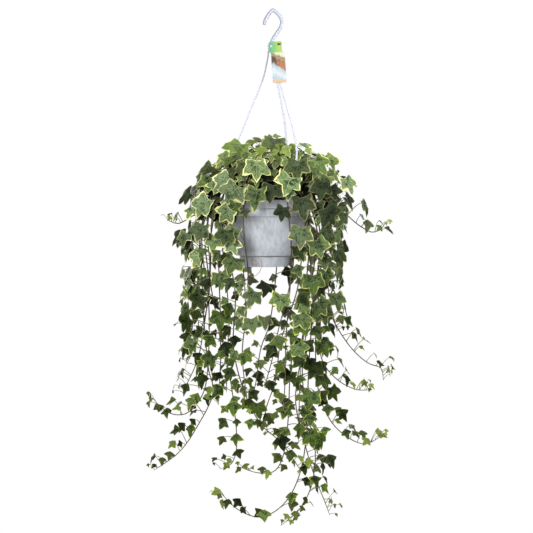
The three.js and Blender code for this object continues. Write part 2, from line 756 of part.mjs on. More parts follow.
// Places along the stems, near the crown, where its petioles may start.
const crownNodes = [];
for (const stem of stems) {
  for (let distance = 16; distance < stem.length; distance += CROWN_NODE_STEP) {
    const [stretch, share, point] = stem.at(distance);
    if (point.z < RIM_TOP - 45 || Math.hypot(point.x - POT_X, point.y) > CROWN_STEMS_TO) continue;
    crownNodes.push({ stem, stretch, share, point });
  }
}

function growCrownLeaf(index) {
  const height = 1 - (1 - CROWN_LOWEST) * (index + 0.5) / CROWN_LEAVES;
  const ring = Math.sqrt(1 - height * height);
  for (let tries = 0; tries < CROWN_TRIES; tries += 1) {
    const angle = index * GOLDEN_ANGLE + draws.between(-0.12, 0.12);
    const depth = draws.between(0.84, 1.02) - 0.03 * tries;
    const dome = vector(Math.cos(angle) * ring, Math.sin(angle) * ring, height);
    const joint = vector(
      CROWN_CENTRE[0] + dome.x * CROWN_HALF[0] * depth,
      CROWN_CENTRE[1] + dome.y * CROWN_HALF[1] * depth,
      CROWN_CENTRE[2] + dome.z * CROWN_HALF[2] * depth,
    );
    const jitter = vector(draws.between(-0.45, 0.45), draws.between(-0.4, 0.4), draws.between(-0.3, 0.3));
    const face = vector(dome.x, dome.y, dome.z + CROWN_FACES_UP).add(jitter);
    face.addScaledVector(FRONT, CROWN_FACES_FRONT * (0.3 + 0.7 * frontShare(joint))).normalize();
    const swing = draws.between(-0.7, 0.7);
    const pointing = vector(dome.x - dome.y * swing, dome.y + dome.x * swing, -0.75);
    const size = draws.between(24, 35) - 1.4 * tries;
    const inFront = joint.y < WINDOW_FRONT && joint.z < WINDOW_TOP;
    if (inFront && Math.abs(joint.x - POT_X) < WINDOW_HALF) continue;
    const near = crownNodes.map((node) => [node.point.distanceTo(joint), node]);
    near.sort((a, b) => a[0] - b[0]);
    for (const [distance, node] of near.filter(([value]) => value > SHORTEST_PETIOLE).slice(0, 14)) {
      if (distance > LONGEST_PETIOLE) break;
      const leaf = makeLeaf(node, joint, face, pointing, size);
      if (!fits(leaf)) continue;
      grow(leaf);
      return;
    }
  }
}

// Leaves stand along a trailing stem by turns on its two sides, and get smaller to its tip.
function growTrailingLeaf(stem, distance, sideSign) {
  const share = distance / stem.length;
  const [stretch, along, root, direction] = stem.at(distance);
  const node = { stem, stretch, share: along, point: root };
  const out = outward(root);
  const side = UP.clone().cross(out).multiplyScalar(sideSign);
  const level = 1 - Math.abs(direction.z);
  const size = (26 - 14 * share * share * share) * draws.between(0.8, 1.15);
  if (size < SMALLEST_BLADE) return;
  for (let tries = 0; tries < LEAF_TRIES; tries += 1) {
    const loose = 0.25 + 0.9 * tries / LEAF_TRIES;
    const rising = towardsLight(root, 0.3 + 0.9 * level);
    rising.addScaledVector(side, 0.7 + loose * draws.between(-1, 1));
    rising.addScaledVector(UP, loose * draws.between(-0.6, 0.6));
    rising.addScaledVector(direction, draws.between(-0.2, 0.2)).normalize();
    const joint = root.clone().addScaledVector(rising, size * draws.between(0.75, 1.3) + 4);
    const jitter = vector(draws.between(-0.4, 0.4), draws.between(-0.4, 0.4), draws.between(-0.4, 0.4));
    const face = towardsLight(root, 0.4 + 0.5 * level).addScaledVector(rising, 0.35).add(jitter).normalize();
    const pointing = vector(0, 0, -1 + 0.5 * level).addScaledVector(side, draws.between(-0.35, 0.85));
    pointing.addScaledVector(out, 0.25);
    const leaf = makeLeaf(node, joint, face, pointing, size);
    if (!fits(leaf)) continue;
    grow(leaf);
    return;
  }
}

function growAlong(stem) {
  let sideSign = 1;
  let distance = FIRST_LEAF + draws.between(0, 20);
  while (distance < stem.length - 4) {
    growTrailingLeaf(stem, distance, sideSign);
    sideSign = -sideSign;
    distance += draws.between(26, 38) - 8 * distance / stem.length;
  }
}

const trailing = stems.slice(0, TRAILING.length);
for (const stem of trailing.filter((one) => one.length < SPRIG_LENGTH)) growAlong(stem);
for (let i = 0; i < CROWN_LEAVES; i += 1) growCrownLeaf(i);
for (const stem of trailing.filter((one) => one.length >= SPRIG_LENGTH)) growAlong(stem);

// The collar's corner nearest to each edge of an outline, from the angles of the edge's ends.
function collarCorner(lobes, edge) {
  const from = (lobes[edge][0] + 360) % 360;
  const to = (lobes[(edge + 1) % lobes.length][0] + 360) % 360 || 360;
  return Math.round((from + to) / 2 / 120) % 3;
}

// The corners of one woven body: a stem with its petioles and blades.
class Weave {
  constructor() {
    this.points = [];
    this.faces = [];
  }

  add(point) {
    this.points.push(point);
    return this.points.length - 1;
  }

  // A side face of the stem, split round the foot of a petiole. Returns the foot's corners.
  faceWithFoot(a, b, farB, farA, share, radius) {
    const corner = (i) => this.points[i];
    const spot = (across, shift) => {
      const near = corner(a).clone().lerp(corner(b), across);
      const far = corner(farA).clone().lerp(corner(farB), across);
      return near.lerp(far, share + shift / near.distanceTo(far));
    };
    const half = radius / corner(a).distanceTo(corner(b));
    const low = this.add(spot(0.5, -1.1 * radius));
    const right = this.add(spot(0.5 + half * 0.87, 0.8 * radius));
    const left = this.add(spot(0.5 - half * 0.87, 0.8 * radius));
    this.faces.push(a, b, low, b, farB, right, farB, farA, left, farA, a, left);
    this.faces.push(b, right, low, farB, left, right, a, low, left);
    return [low, left, right];
  }

  // The blade, full thickness at its bays and thin at its tips, and the petiole from its foot.
  leaf(leaf, foot) {
    const { joint, face, sideways, along } = leaf;
    const corners = bladeCorners(leaf);
    const middle = this.add(joint.clone().addScaledVector(face, BLADE_CENTRE / 2));
    const top = [];
    const under = [];
    corners.forEach((corner, i) => {
      const bay = i % 2 === 1;
      top.push(this.add(corner.clone().addScaledVector(face, bay ? BLADE_EDGE / 2 : 0)));
      under.push(bay ? this.add(corner.clone().addScaledVector(face, -BLADE_EDGE / 2)) : top[i]);
    });
    const collar = [];
    for (let i = 0; i < 3; i += 1) {
      const angle = Math.PI / 2 - i * 2 * Math.PI / 3;
      const point = joint.clone().addScaledVector(face, -BLADE_CENTRE / 2);
      point.addScaledVector(sideways, Math.cos(angle) * PETIOLE_TIP);
      collar.push(this.add(point.addScaledVector(along, Math.sin(angle) * PETIOLE_TIP)));
    }
    for (let i = 0; i < corners.length; i += 1) {
      const next = (i + 1) % corners.length;
      const [owner, nextOwner] = [collarCorner(leaf.lobes, i), collarCorner(leaf.lobes, next)];
      this.faces.push(middle, top[next], top[i]);
      this.faces.push(collar[owner], under[i], under[next]);
      if (top[i] !== under[i]) this.faces.push(top[i], top[next], under[i]);
      if (top[next] !== under[next]) this.faces.push(top[i], top[next], under[next]);
      if (owner !== nextOwner) this.faces.push(under[next], collar[nextOwner], collar[owner]);
    }
    this.petiole(collar, foot);
  }

  // Three faces' width of petiole, its foot turned to the collar so that it twists least.
  petiole(collar, foot) {
    const middleOf = (ring) => {
      const sum = vector(0, 0, 0);
      for (const i of ring) sum.add(this.points[i]);
      return sum.divideScalar(3);
    };
    const [collarMiddle, footMiddle] = [middleOf(collar), middleOf(foot)];
    let best = foot;
    let most = -Infinity;
    for (let turn = 0; turn < 3; turn += 1) {
      const ring = foot.map((_, i) => foot[(i + turn) % 3]);
      let match = 0;
      for (let i = 0; i < 3; i += 1) {
        const arm = this.points[collar[i]].clone().sub(collarMiddle);
        match += arm.dot(this.points[ring[i]].clone().sub(footMiddle));
      }
      if (match > most) {
        most = match;
        best = ring;
      }
    }
    for (let i = 0; i < 3; i += 1) {
      const next = (i + 1) % 3;
      this.faces.push(collar[i], collar[next], best[next], collar[i], best[next], best[i]);
    }
  }

  geometry() {
    const geometry = new THREE.BufferGeometry();
    const positions = this.points.flatMap((point) => [point.x, point.y, point.z]);
    geometry.setAttribute('position', new THREE.Float32BufferAttribute(positions, 3));
    geometry.setIndex(this.faces);
    return geometry;
  }
}

function buildStem(stem) {
  const weave = new Weave();
  const rings = stem.rings.map((ring) => ring.map((point) => weave.add(point)));
  const last = rings[rings.length - 1];
  weave.faces.push(rings[0][0], rings[0][2], rings[0][1], last[0], last[1], last[2]);
  for (let stretch = 0; stretch + 1 < rings.length; stretch += 1) {
    for (let side = 0; side < 3; side += 1) {
      const next = (side + 1) % 3;
      const [a, b] = [rings[stretch][side], rings[stretch][next]];
      const [farA, farB] = [rings[stretch + 1][side], rings[stretch + 1][next]];
      const leaf = stem.leaves.find((one) => one.node.stretch === stretch && one.side === side);
      if (leaf) weave.leaf(leaf, weave.faceWithFoot(a, b, farB, farA, leaf.node.share, PETIOLE_ROOT));
      else weave.faces.push(a, b, farB, a, farB, farA);
    }
  }
  addPiece(stem.name, solid(weave.geometry()), materials.foliage);
}

// The soil fills the pot to just under its rim, with a plain hole for each stem.
function buildSoil() {
  let soil = turnedSolid([
    [0, SPIGOT_FOOT + WALL + GAP],
    [SPIGOT_RADIUS - WALL - GAP, SPIGOT_FOOT + WALL + GAP],
    [SPIGOT_RADIUS - WALL - GAP, BODY_FOOT + 1 + GAP],
    [BODY_FOOT_RADIUS - WALL - 2 * GAP, BODY_FOOT + 1.5 + GAP],
    [SHOULDER_RADIUS - WALL - 2 * GAP, SHOULDER],
    [RIM_RADIUS - WALL - 3.2, SOIL_TOP - 1.5],
    [0, SOIL_TOP],
  ], 24);
  for (const stem of stems) {
    const foot = stem.line[0];
    const hole = upright((STEM_THICK + GAP) * Math.SQRT2, 30, 4, foot.x, foot.y, SOIL_TOP - STEM_DEPTH);
    soil = soil.subtract(hole);
  }
  addPiece('soil', soil, materials.soil);
}

buildPot();
buildSaucer();
buildSoil();
buildHook();
for (const [name, degrees, route] of STRAPS) buildStrap(name, degrees, route);
buildLabel();
for (const stem of stems) buildStem(stem);

export default plant;
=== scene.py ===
"""Variegated English ivy trailing from a plastic hanging pot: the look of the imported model."""

import math

import bmesh
import bpy
import numpy as np
from mathutils import Matrix, Vector, noise


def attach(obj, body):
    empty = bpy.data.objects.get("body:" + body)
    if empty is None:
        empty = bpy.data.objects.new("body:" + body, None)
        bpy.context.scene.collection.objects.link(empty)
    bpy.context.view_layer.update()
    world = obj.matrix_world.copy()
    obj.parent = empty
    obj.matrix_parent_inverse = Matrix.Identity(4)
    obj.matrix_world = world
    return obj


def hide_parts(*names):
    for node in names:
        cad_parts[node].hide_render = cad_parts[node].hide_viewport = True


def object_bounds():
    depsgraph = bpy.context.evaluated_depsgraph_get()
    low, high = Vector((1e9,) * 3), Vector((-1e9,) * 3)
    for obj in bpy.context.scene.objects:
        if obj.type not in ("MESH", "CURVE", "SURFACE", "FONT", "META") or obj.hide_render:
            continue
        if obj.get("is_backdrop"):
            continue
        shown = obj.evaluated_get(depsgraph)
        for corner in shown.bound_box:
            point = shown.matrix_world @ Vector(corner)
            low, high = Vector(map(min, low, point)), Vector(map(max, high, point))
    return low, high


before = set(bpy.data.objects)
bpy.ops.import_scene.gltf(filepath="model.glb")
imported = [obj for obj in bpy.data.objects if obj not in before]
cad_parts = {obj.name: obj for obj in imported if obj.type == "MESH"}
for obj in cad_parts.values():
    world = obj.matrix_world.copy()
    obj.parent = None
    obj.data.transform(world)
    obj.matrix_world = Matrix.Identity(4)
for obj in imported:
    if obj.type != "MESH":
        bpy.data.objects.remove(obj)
model_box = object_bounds()

# Sizes are in millimetres, and a finished piece is scaled to metres.
MM = 0.001

# The pot, which hangs a little to the left of the hook's bight
POT_X = -13
RIM_TOP = -300
RIM_RADIUS = 75
WALL = 2
LIP_GROOVE = (RIM_TOP - 15.2, RIM_TOP - 13.2)
SHOULDER = RIM_TOP - 27
SHOULDER_RADIUS = 70
SHOULDER_GROOVE = (SHOULDER - 0.6, SHOULDER + 0.9)
BODY_FOOT = RIM_TOP - 88
BODY_FOOT_RADIUS = 47
SPIGOT_FOOT = BODY_FOOT - 6
SPIGOT_RADIUS = 37.8

# The drip saucer, and the soil that the stems stand in
SAUCER_FOOT = RIM_TOP - 106.5
SAUCER_RADIUS = 40.8
SAUCER_FOOT_RADIUS = 38.4
SAUCER_FLOOR = 1.8
SOIL_TOP = RIM_TOP - 10
STEM_DEPTH = 12

# Room between pieces that fit together
GAP = 0.3

# The hanger: its hook, hub, label peg, straps and clips
HOOK_WIDTH = 5.6
HOOK_DEPTH = 6
HUB_X = -3
HUB_TOP = -50
HUB_FOOT = -62
HUB_RADIUS = 6
PEG_RADIUS = 1.3
PEG_REACH = 11
STRAP_WIDTH = 3
STRAP_DEPTH = 2.2
CLIP_WIDTH = 8
CLIP_DROP = 12
CLIP_WALL = 2.2
PEG_AT = Vector((HUB_X, 0, (HUB_TOP + HUB_FOOT) / 2))

# The label leans forward on the peg and is turned a little in its own plane.
LABEL_THICKNESS = 0.8
LABEL_OUT = 8
LABEL_LEAN = math.radians(10)
LABEL_TURN = math.radians(-3.5)

# The label's outline, from its foot round its right side to the top of its head and down again
LABEL_OUTLINE = [
    (-1, -60), (21, -60), (21, -11), (17, -10), (17, 8), (-3.5, 8), (-3.5, -10), (-1, -11),
]
LABEL_CORNER = 3

# The label's print starts at this corner of its plane and is this large.
PRINT_LEFT = -9
PRINT_FOOT = -66
PRINT_WIDTH = 35
PRINT_HEIGHT = 82

# Stems, petioles and blades, grown by the same draws as the model's
PLANT_SEED = 20417
STEM_THICK = 1.4
STEM_THIN = 1.0
PETIOLE_ROOT = 0.8
PETIOLE_TIP = 0.55
BLADE_THICKNESS = 0.6
LARGEST_BLADE = 36
SMALL_BLADE = 22
SMALLEST_BLADE = 14.5
BREADTHS = (0.88, 1.06)
FOLDS = (0.05, 0.4)
BENDS = (0.08, 0.38)
STEM_STEP = 42
NODE_ROOM = 2.4
LEAST_FACING = 0.35

# Trailing stems root on two circles, rise over the rim and hang down outside it.
OUTER_ROOTS = 57
INNER_ROOTS = 44
CREST_RADIUS = 66
CREST_RISE = 14
OVER_RIM_RADIUS = 84
OVER_RIM_RISE = 9
CREST_SPREAD = 16

# Their leaves: where the first stands, how far apart they are, how large at the top and how much
# less at the tip, and how often each is tried. Short stems are grown before the crown.
FIRST_LEAF = 60
LEAF_STEPS = (26, 38)
LEAF_SIZE = 26
LEAF_LOSS = 14
LEAF_SIZES = (0.8, 1.15)
LEAF_TRIES = 24
PETIOLES = (0.75, 1.3)
SHORT_STEM = 230

# The crown's own stems: how far out they root, how high they stand, how far they lean and sway
CROWN_STEMS = 11
CROWN_ROOTS = (8, 26)
CROWN_HEIGHTS = (44, 66)
CROWN_REACHES = (34, 58)
CROWN_SWAY = 0.15

# The crown is a dome of leaves: its middle, and its width, depth and height from there.
CROWN_CENTRE = np.array((-2.0, -2.0, RIM_TOP - 8.0))
CROWN_HALF = np.array((130.0, 110.0, 101.0))
CROWN_LEAVES = 150
CROWN_SIZES = (24, 35)
CROWN_DEPTHS = (0.84, 1.02)
CROWN_JITTER = (0.45, 0.4, 0.3)
CROWN_LOWEST = -0.16
CROWN_TRIES = 6
CROWN_FIRST_NODE = 16
CROWN_NODE_STEP = 7
CROWN_STEMS_TO = 118
CROWN_STEMS_FOOT = RIM_TOP - 45
CROWN_FACES_UP = 0.3
CROWN_FACES_FRONT = 0.75
SHORTEST_PETIOLE = 15
LONGEST_PETIOLE = 68
NEAREST_NODES = 14

# A petiole comes from behind its blade, so this much of its way is the way the blade faces.
LEAST_RISE = 0.3

# Even turns that never repeat
GOLDEN_ANGLE = math.pi * (3 - math.sqrt(5))

# Further back than the first of these in Y, leaves don't turn to the front. Nearer than the second
# they turn fully.
BEHIND = 50
BEFORE = -10

# The front of the pot is left to be seen. The crown's blades keep out of a window below the rim,
# and no blade starts in a view that widens downwards.
WINDOW_HALF = 48
WINDOW_FRONT = -70
WINDOW_TOP = RIM_TOP - 4
VIEW_HALF = 22
VIEW_SLOPE = 0.2
VIEW_FRONT = -55
VIEW_FOOT = RIM_TOP - 128

# Space is filled in cells between two corners, where samples of stems, petioles and blades lie.
SPACE_LOW = (-300, -220, -880)
SPACE_HIGH = (290, 220, -40)
CELL = 3
SAMPLE_SPACING = 1.5
LOBE_SPREAD = 0.7
CLEAR_OF_STEM = 7.5
CLEAR_OF_POT = 4
NEAR_WALL = RIM_RADIUS - 8
NEAR_SOIL = SOIL_TOP + 2

# The hook's centre line in x and z, from its free tip over the arch and down to the hub
HOOK_ROUTE = [
    (-14.4, -20.6), (-12, -12.5), (-8.5, -6.5), (-3.5, 0.5), (0, 2.8), (3.5, 1.2), (7.5, -2.5),
    (11.5, -7.5), (14, -14.5), (13.5, -20.5), (11, -26.5), (6, -34), (1, -41.5), (-2, -48),
    (HUB_X, -56),
]

# The straps' names, angles on the rim and routes from the hub down to it
STRAPS = [
    ("left", 183, [
        (-7.5, 0, -68), (-16, -1, -107), (-36, -2.5, -157), (-49, -3.5, -189), (-66, -4.5, -229),
        (-81, -5, -268),
    ]),
    ("front", 300, [
        (0, -4.5, -74), (11, -13, -114), (23, -31, -157), (32, -45, -192), (37, -56, -226),
        (32, -62, -264),
    ]),
    ("back", 69, [
        (-1, 3.5, -68), (7, 19, -114), (16, 36, -157), (21, 49, -192), (22, 61, -226),
        (18, 68, -264),
    ]),
]

# Leaves grow clear of the straps, whose lines are taken in steps of this length for it.
COARSE_STRAP_STEP = 60

# Routes of the trailing stems from outside the rim down to their tips
TRAILING = [
    # Left curtain
    [(-97, -56, -345), (-86, -54, -400), (-84, -50, -445), (-80, -48, -517), (-66, -48, -589),
     (-58, -44, -659), (-58, -42, -694), (-66, -41, -716), (-84, -40, -724)],
    [(-106, -45, -352), (-104, -41, -400), (-96, -38, -448), (-83, -37, -525), (-84, -37, -580),
     (-86, -37, -624)],
    [(-112, -31, -345), (-109, -27, -410), (-102, -25, -462), (-102, -25, -541),
     (-109, -25, -602), (-133, -25, -636), (-158, -26, -640), (-180, -28, -626),
     (-190, -30, -612)],
    [(-110, -17, -318), (-128, -16, -326), (-150, -17, -338), (-168, -20, -332)],
    [(-116, 5, -352), (-114, 4, -413), (-112, 2, -475), (-104, 0, -566), (-96, -2, -610),
     (-122, -5, -664), (-150, -7, -703), (-190, -8, -732)],
    [(-106, 22, -350), (-102, 22, -400), (-104, 20, -450), (-112, 20, -510), (-122, 20, -560),
     (-146, 20, -612)],
    [(-114, 42, -345), (-120, 42, -385), (-122, 40, -430), (-128, 40, -480), (-132, 38, -520)],
    [(-100, 58, -350), (-102, 56, -410), (-106, 54, -469), (-120, 52, -520), (-140, 48, -568)],
    [(-84, 76, -352), (-78, 68, -421), (-72, 60, -490), (-74, 56, -550), (-76, 56, -616)],
    [(-52, 90, -350), (-50, 84, -400), (-46, 76, -450), (-44, 70, -520)],
    # Behind the pot
    [(-20, 94, -345), (-21, 90, -372), (-19, 88, -398)],
    [(8, 95, -345), (7, 86, -400), (2, 72, -455), (-6, 60, -506), (-20, 55, -545),
     (-28, 52, -600), (-37, 50, -632)],
    # Right curtain
    [(34, 86, -350), (34, 82, -405), (24, 80, -460), (10, 78, -512), (0, 77, -560),
     (-14, 76, -610)],
    [(52, 74, -350), (62, 72, -405), (60, 68, -461), (48, 65, -530), (44, 64, -613),
     (42, 64, -700)],
    [(70, 66, -340), (79, 64, -380), (88, 60, -426), (94, 55, -470), (105, 52, -516)],
    [(76, 46, -350), (72, 42, -421), (58, 38, -500), (40, 34, -590), (38, 34, -640),
     (56, 34, -712), (68, 34, -750), (84, 34, -790), (92, 34, -812)],
    [(84, 30, -350), (84, 27, -405), (84, 24, -455), (98, 22, -496), (125, 20, -538),
     (152, 20, -563), (174, 20, -572), (178, 20, -592)],
    [(86, 13, -352), (82, 12, -413), (76, 8, -500), (78, 7, -555), (102, 7, -588),
     (131, 7, -604), (154, 7, -606)],
    [(96, 1, -310), (115, 1, -322), (136, 2, -340), (157, 4, -352), (172, 5, -348),
     (180, 6, -338)],
    [(79, -12, -350), (75, -12, -421), (68, -8, -520), (72, -6, -602), (90, -6, -650),
     (117, -6, -678), (147, -6, -690), (175, -6, -676)],
    [(79, -27, -345), (72, -27, -410), (62, -23, -490), (56, -20, -580), (54, -19, -660),
     (44, -19, -730), (20, -19, -780), (-18, -19, -804), (-56, -19, -792), (-83, -19, -765)],
    [(68, -50, -345), (64, -48, -405), (54, -40, -461), (46, -34, -545), (50, -33, -620),
     (66, -33, -690), (62, -33, -745), (44, -33, -786), (12, -33, -815)],
    [(56, -66, -345), (54, -60, -405), (44, -52, -480), (28, -46, -560), (24, -43, -640),
     (18, -41, -695), (4, -39, -726), (-20, -38, -731), (-47, -38, -724)],
    [(50, -78, -345), (43, -76, -400), (36, -72, -445), (12, -68, -520), (4, -68, -580),
     (-12, -68, -630), (-8, -68, -664)],
    [(25, -90, -335), (28, -86, -378), (26, -82, -437), (20, -80, -510), (18, -79, -590),
     (14, -78, -630)],
    # Front left, past the pot's side
    [(-46, -88, -330), (-43, -84, -375), (-39, -78, -413), (-42, -74, -480), (-48, -72, -544),
     (-38, -70, -630)],
    [(-72, -76, -340), (-68, -70, -390), (-59, -62, -450), (-62, -59, -530), (-46, -58, -598),
     (-20, -56, -650), (14, -54, -682), (44, -51, -726)],
]

# A dry tendril curls in front of the pot's foot from the stem that hangs there.
TENDRIL = [
    (-39, -79, -413), (-36, -84, -418), (-27, -89, -417), (-20, -90, -409), (-17.5, -90, -399),
    (-21, -90, -391), (-28, -89, -388), (-34, -89, -392), (-33.5, -89, -398), (-27, -90, -401),
    (-23, -90, -397), (-26, -90, -393), (-30, -89.5, -396),
]
TENDRIL_STEP = 2.5
TENDRIL_ROOT = 0.6
TENDRIL_TIP = 0.3
TENDRIL_SIDES = 6

# Outlines of blades: tips and bays by turns, as an angle from the midrib and a share of its length
FIVE_LOBES = [
    (0, 1), (28, 0.58), (56, 0.86), (90, 0.53), (124, 0.62),
    (180, 0.16), (-124, 0.62), (-90, 0.53), (-56, 0.86), (-28, 0.58),
]
THREE_LOBES = [(0, 1), (33, 0.55), (68, 0.74), (180, 0.24), (-68, 0.74), (-33, 0.55)]

# The sides of lobes that reach as far as this are pushed out a little in their middle, and a ring
# runs round the blade inside its edge.
LONG_LOBE = 0.6
BELLY = 0.04
INNER_RING = 0.55

UP = np.array((0.0, 0.0, 1.0))
FRONT = np.array((0.0, -1.0, 0.0))


def vector(x, y, z):
    return np.array((x, y, z), float)


def unit(arrow):
    return arrow / math.sqrt(arrow @ arrow)


def turned(angle, radius, z):
    return vector(POT_X + radius * math.cos(angle), radius * math.sin(angle), z)


def outward(point):
    return unit(vector(point[0] - POT_X, point[1], 0))


class Draws:
    """Draws that are the same each time, from a multiplicative generator."""

    MULTIPLIER = 16807
    MODULUS = 2147483647

    def __init__(self, seed):
        self.state = seed

    def between(self, low, high):
        self.state = self.state * self.MULTIPLIER % self.MODULUS
        return low + (high - low) * self.state / self.MODULUS


class Filled:
    """Cells of space that stems, petioles and blades already fill, with some cells around."""

    def __init__(self, cell, around):
        self.low = np.array(SPACE_LOW, float)
        self.cell = cell
        self.around = around
        self.cells = np.zeros(np.ceil((np.array(SPACE_HIGH) - self.low) / cell).astype(int), bool)

    def places(self, points):
        return np.floor((points - self.low) / self.cell).astype(int).T

    def mark(self, points):
        x, y, z = self.places(points)
        near = range(-self.around, self.around + 1)
        for i in near:
            for j in near:
                for k in near:
                    self.cells[x + i, y + j, z + k] = True

    def free(self, points):
        x, y, z = self.places(points)
        return not self.cells[x, y, z].any()


def curve_point(knots, i, t):
    """The point at a share of the way from knot i to the next, on a smooth line through all."""
    before, start = knots[max(i - 1, 0)], knots[i]
    end, after = knots[i + 1], knots[min(i + 2, len(knots) - 1)]
    point = start * (2 - 5 * t * t + 3 * t * t * t)
    point = point + before * (-t + 2 * t * t - t * t * t)
    point = point + end * (t + 4 * t * t - 3 * t * t * t)
    return (point + after * (-t * t + t * t * t)) * 0.5


def smooth_line(knots, step):
    """Points of the smooth line, no further apart than the step, and each one's knot and share."""
    line, shares = [], []
    for i in range(len(knots) - 1):
        parts = max(1, math.ceil(np.linalg.norm(knots[i] - knots[i + 1]) / step))
        for part in range(parts):
            line.append(curve_point(knots, i, part / parts))
            shares.append((i, part / parts, 1 / parts))
    line.append(knots[-1].copy())
    return line, shares


def directions(line):
    last = len(line) - 1
    return [unit(line[min(i + 1, last)] - line[max(i - 1, 0)]) for i in range(len(line))]


def side_and_rise(direction, side):
    """Two arrows square to a direction and to each other, the first as near the side as it can."""
    side = unit(side - direction * (side @ direction))
    return side, np.cross(direction, side)


# The corners of the model's three-sided stems
TRIANGLE = [(1, 0), (-0.5, math.sqrt(0.75)), (-0.5, -math.sqrt(0.75))]


class Stem:
    """A stem, with the places of its points measured along it."""

    def __init__(self, node, knots):
        self.node = node
        self.knots = knots
        self.line, self.shares = smooth_line(knots, STEM_STEP)
        self.leaves = []
        self.taken = set()
        self.ends = [0.0]
        for start, end in zip(self.line, self.line[1:]):
            self.ends.append(self.ends[-1] + np.linalg.norm(end - start))
        self.length = self.ends[-1]
        self.rings = []
        side = outward(self.line[1])
        for i, (point, direction) in enumerate(zip(self.line, directions(self.line))):
            side, rise = side_and_rise(direction, side)
            thickness = STEM_THICK + (STEM_THIN - STEM_THICK) * i / (len(self.line) - 1)
            self.rings.append([point + (side * u + rise * v) * thickness for u, v in TRIANGLE])

    def at(self, distance):
        """The stretch, the share of it, the point and the stem's direction at a distance."""
        i = 1
        while i < len(self.line) - 1 and self.ends[i] < distance:
            i += 1
        span = self.ends[i] - self.ends[i - 1]
        room = NODE_ROOM / span
        share = min(1 - room, max(room, (distance - self.ends[i - 1]) / span))
        start, end = self.line[i - 1], self.line[i]
        return i - 1, share, start + (end - start) * share, unit(end - start)

    def curve_at(self, stretch, share):
        """The point on the smooth line beside a place on one of the straight stretches."""
        knot, start, part = self.shares[stretch]
        return curve_point(self.knots, knot, start + share * part)

    def face_towards(self, stretch, direction):
        """The free side of a stretch that faces a direction most, or -1."""
        best, most = -1, LEAST_FACING
        for side in range(3):
            if (stretch, side) in self.taken:
                continue
            ring = self.rings[stretch]
            middle = (ring[side] + ring[(side + 1) % 3]) * 0.5
            facing = unit(middle - self.line[stretch]) @ direction
            if facing > most:
                best, most = side, facing
        return best


def sample_pattern(corners):
    """Where the samples of a blade lie: the share of the way out, and between which corners."""
    pattern = []
    rows = math.ceil(LARGEST_BLADE / SAMPLE_SPACING)
    for row in range(1, rows + 1):
        out = row / rows
        parts = math.ceil(out * LARGEST_BLADE * LOBE_SPREAD / SAMPLE_SPACING)
        pattern += [(out, i, part / parts) for i in range(corners) for part in range(parts)]
    out, corner, share = np.array(pattern).T
    return out[:, None], corner.astype(int), share[:, None]


class Lobes:
    """A blade's outline: corners across and along it, and the pattern of its samples."""

    def __init__(self, corners):
        angle = np.radians([degrees for degrees, _ in corners])
        self.reach = np.array([reach for _, reach in corners])
        self.across = np.sin(angle) * self.reach
        self.along = np.cos(angle) * self.reach
        self.pattern = sample_pattern(len(corners))


five_lobes = Lobes(FIVE_LOBES)
three_lobes = Lobes(THREE_LOBES)


class Leaf:
    """A leaf whose blade faces one way and points another, on a petiole from a place on a stem."""

    def __init__(self, stem, place, joint, face, pointing, size, draws):
        self.stem = stem
        self.stretch, self.share, self.root = place[:3]
        self.joint = joint
        self.face = face
        self.along = unit(pointing - face * (pointing @ face))
        self.sideways = np.cross(self.along, face)
        self.size = size
        self.lobes = three_lobes if size < SMALL_BLADE else five_lobes
        self.breadth = draws.between(*BREADTHS)
        self.fold = draws.between(*FOLDS)
        self.bend = draws.between(*BENDS)
        self.young = 0.0
        # tone holds painted shade, lowered for the leaves of the crown's inner layers
        self.tone = 1.0

    def samples(self):
        """Points all over the blade."""
        lobes = self.lobes
        height = self.fold * np.abs(lobes.across) - self.bend * lobes.reach ** 2
        corners = self.joint + (
            np.outer(lobes.across * self.size * self.breadth, self.sideways)
            + np.outer(lobes.along * self.size, self.along)
            + np.outer(height * self.size, self.face)
        )
        out, corner, share = lobes.pattern
        start = corners[corner]
        edge = start + (corners[(corner + 1) % len(corners)] - start) * share
        return edge + (self.joint - edge) * (1 - out)


def line_samples(start, end, first):
    """Points along a line, from a first distance on."""
    length = np.linalg.norm(end - start)
    parts = math.ceil(length / SAMPLE_SPACING)
    shares = np.arange(parts + 1) / parts
    shares = shares[length * shares >= first]
    return start + (end - start) * shares[:, None]


def inside_pot(points, clear):
    """Which points lie inside the pot or its saucer, or nearer than this."""
    x, y, z = points.T
    share = np.minimum(1, (SHOULDER - z) / (SHOULDER - BODY_FOOT))
    cone = SHOULDER_RADIUS + (BODY_FOOT_RADIUS - SHOULDER_RADIUS) * share
    wall = np.where(z > SHOULDER, RIM_RADIUS + 1, cone) + clear
    beside = (z <= RIM_TOP + clear) & (z >= SAUCER_FOOT - clear)
    return beside & (np.hypot(x - POT_X, y) < wall)


def petiole_points(leaf):
    return line_samples(leaf.root, leaf.joint, CLEAR_OF_STEM)


def inside_wall(points, clear):
    """Which points lie inside the pot near its wall or near the soil."""
    at_wall = np.hypot(points[:, 0] - POT_X, points[:, 1]) > NEAR_WALL
    return inside_pot(points, clear) & (at_wall | (points[:, 2] < NEAR_SOIL))


def in_view(point):
    """Whether a blade that starts here would hang over the front of the pot."""
    x, y, z = point
    if y > VIEW_FRONT or z > WINDOW_TOP or z < VIEW_FOOT:
        return False
    return abs(x - POT_X) < VIEW_HALF + VIEW_SLOPE * (RIM_TOP - z)


def in_window(point, deeper=0, higher=0):
    """Whether a blade of the crown that starts here would hide the pot's front."""
    x, y, z = point
    before = y < WINDOW_FRONT + deeper and z < WINDOW_TOP + higher
    return before and abs(x - POT_X) < WINDOW_HALF


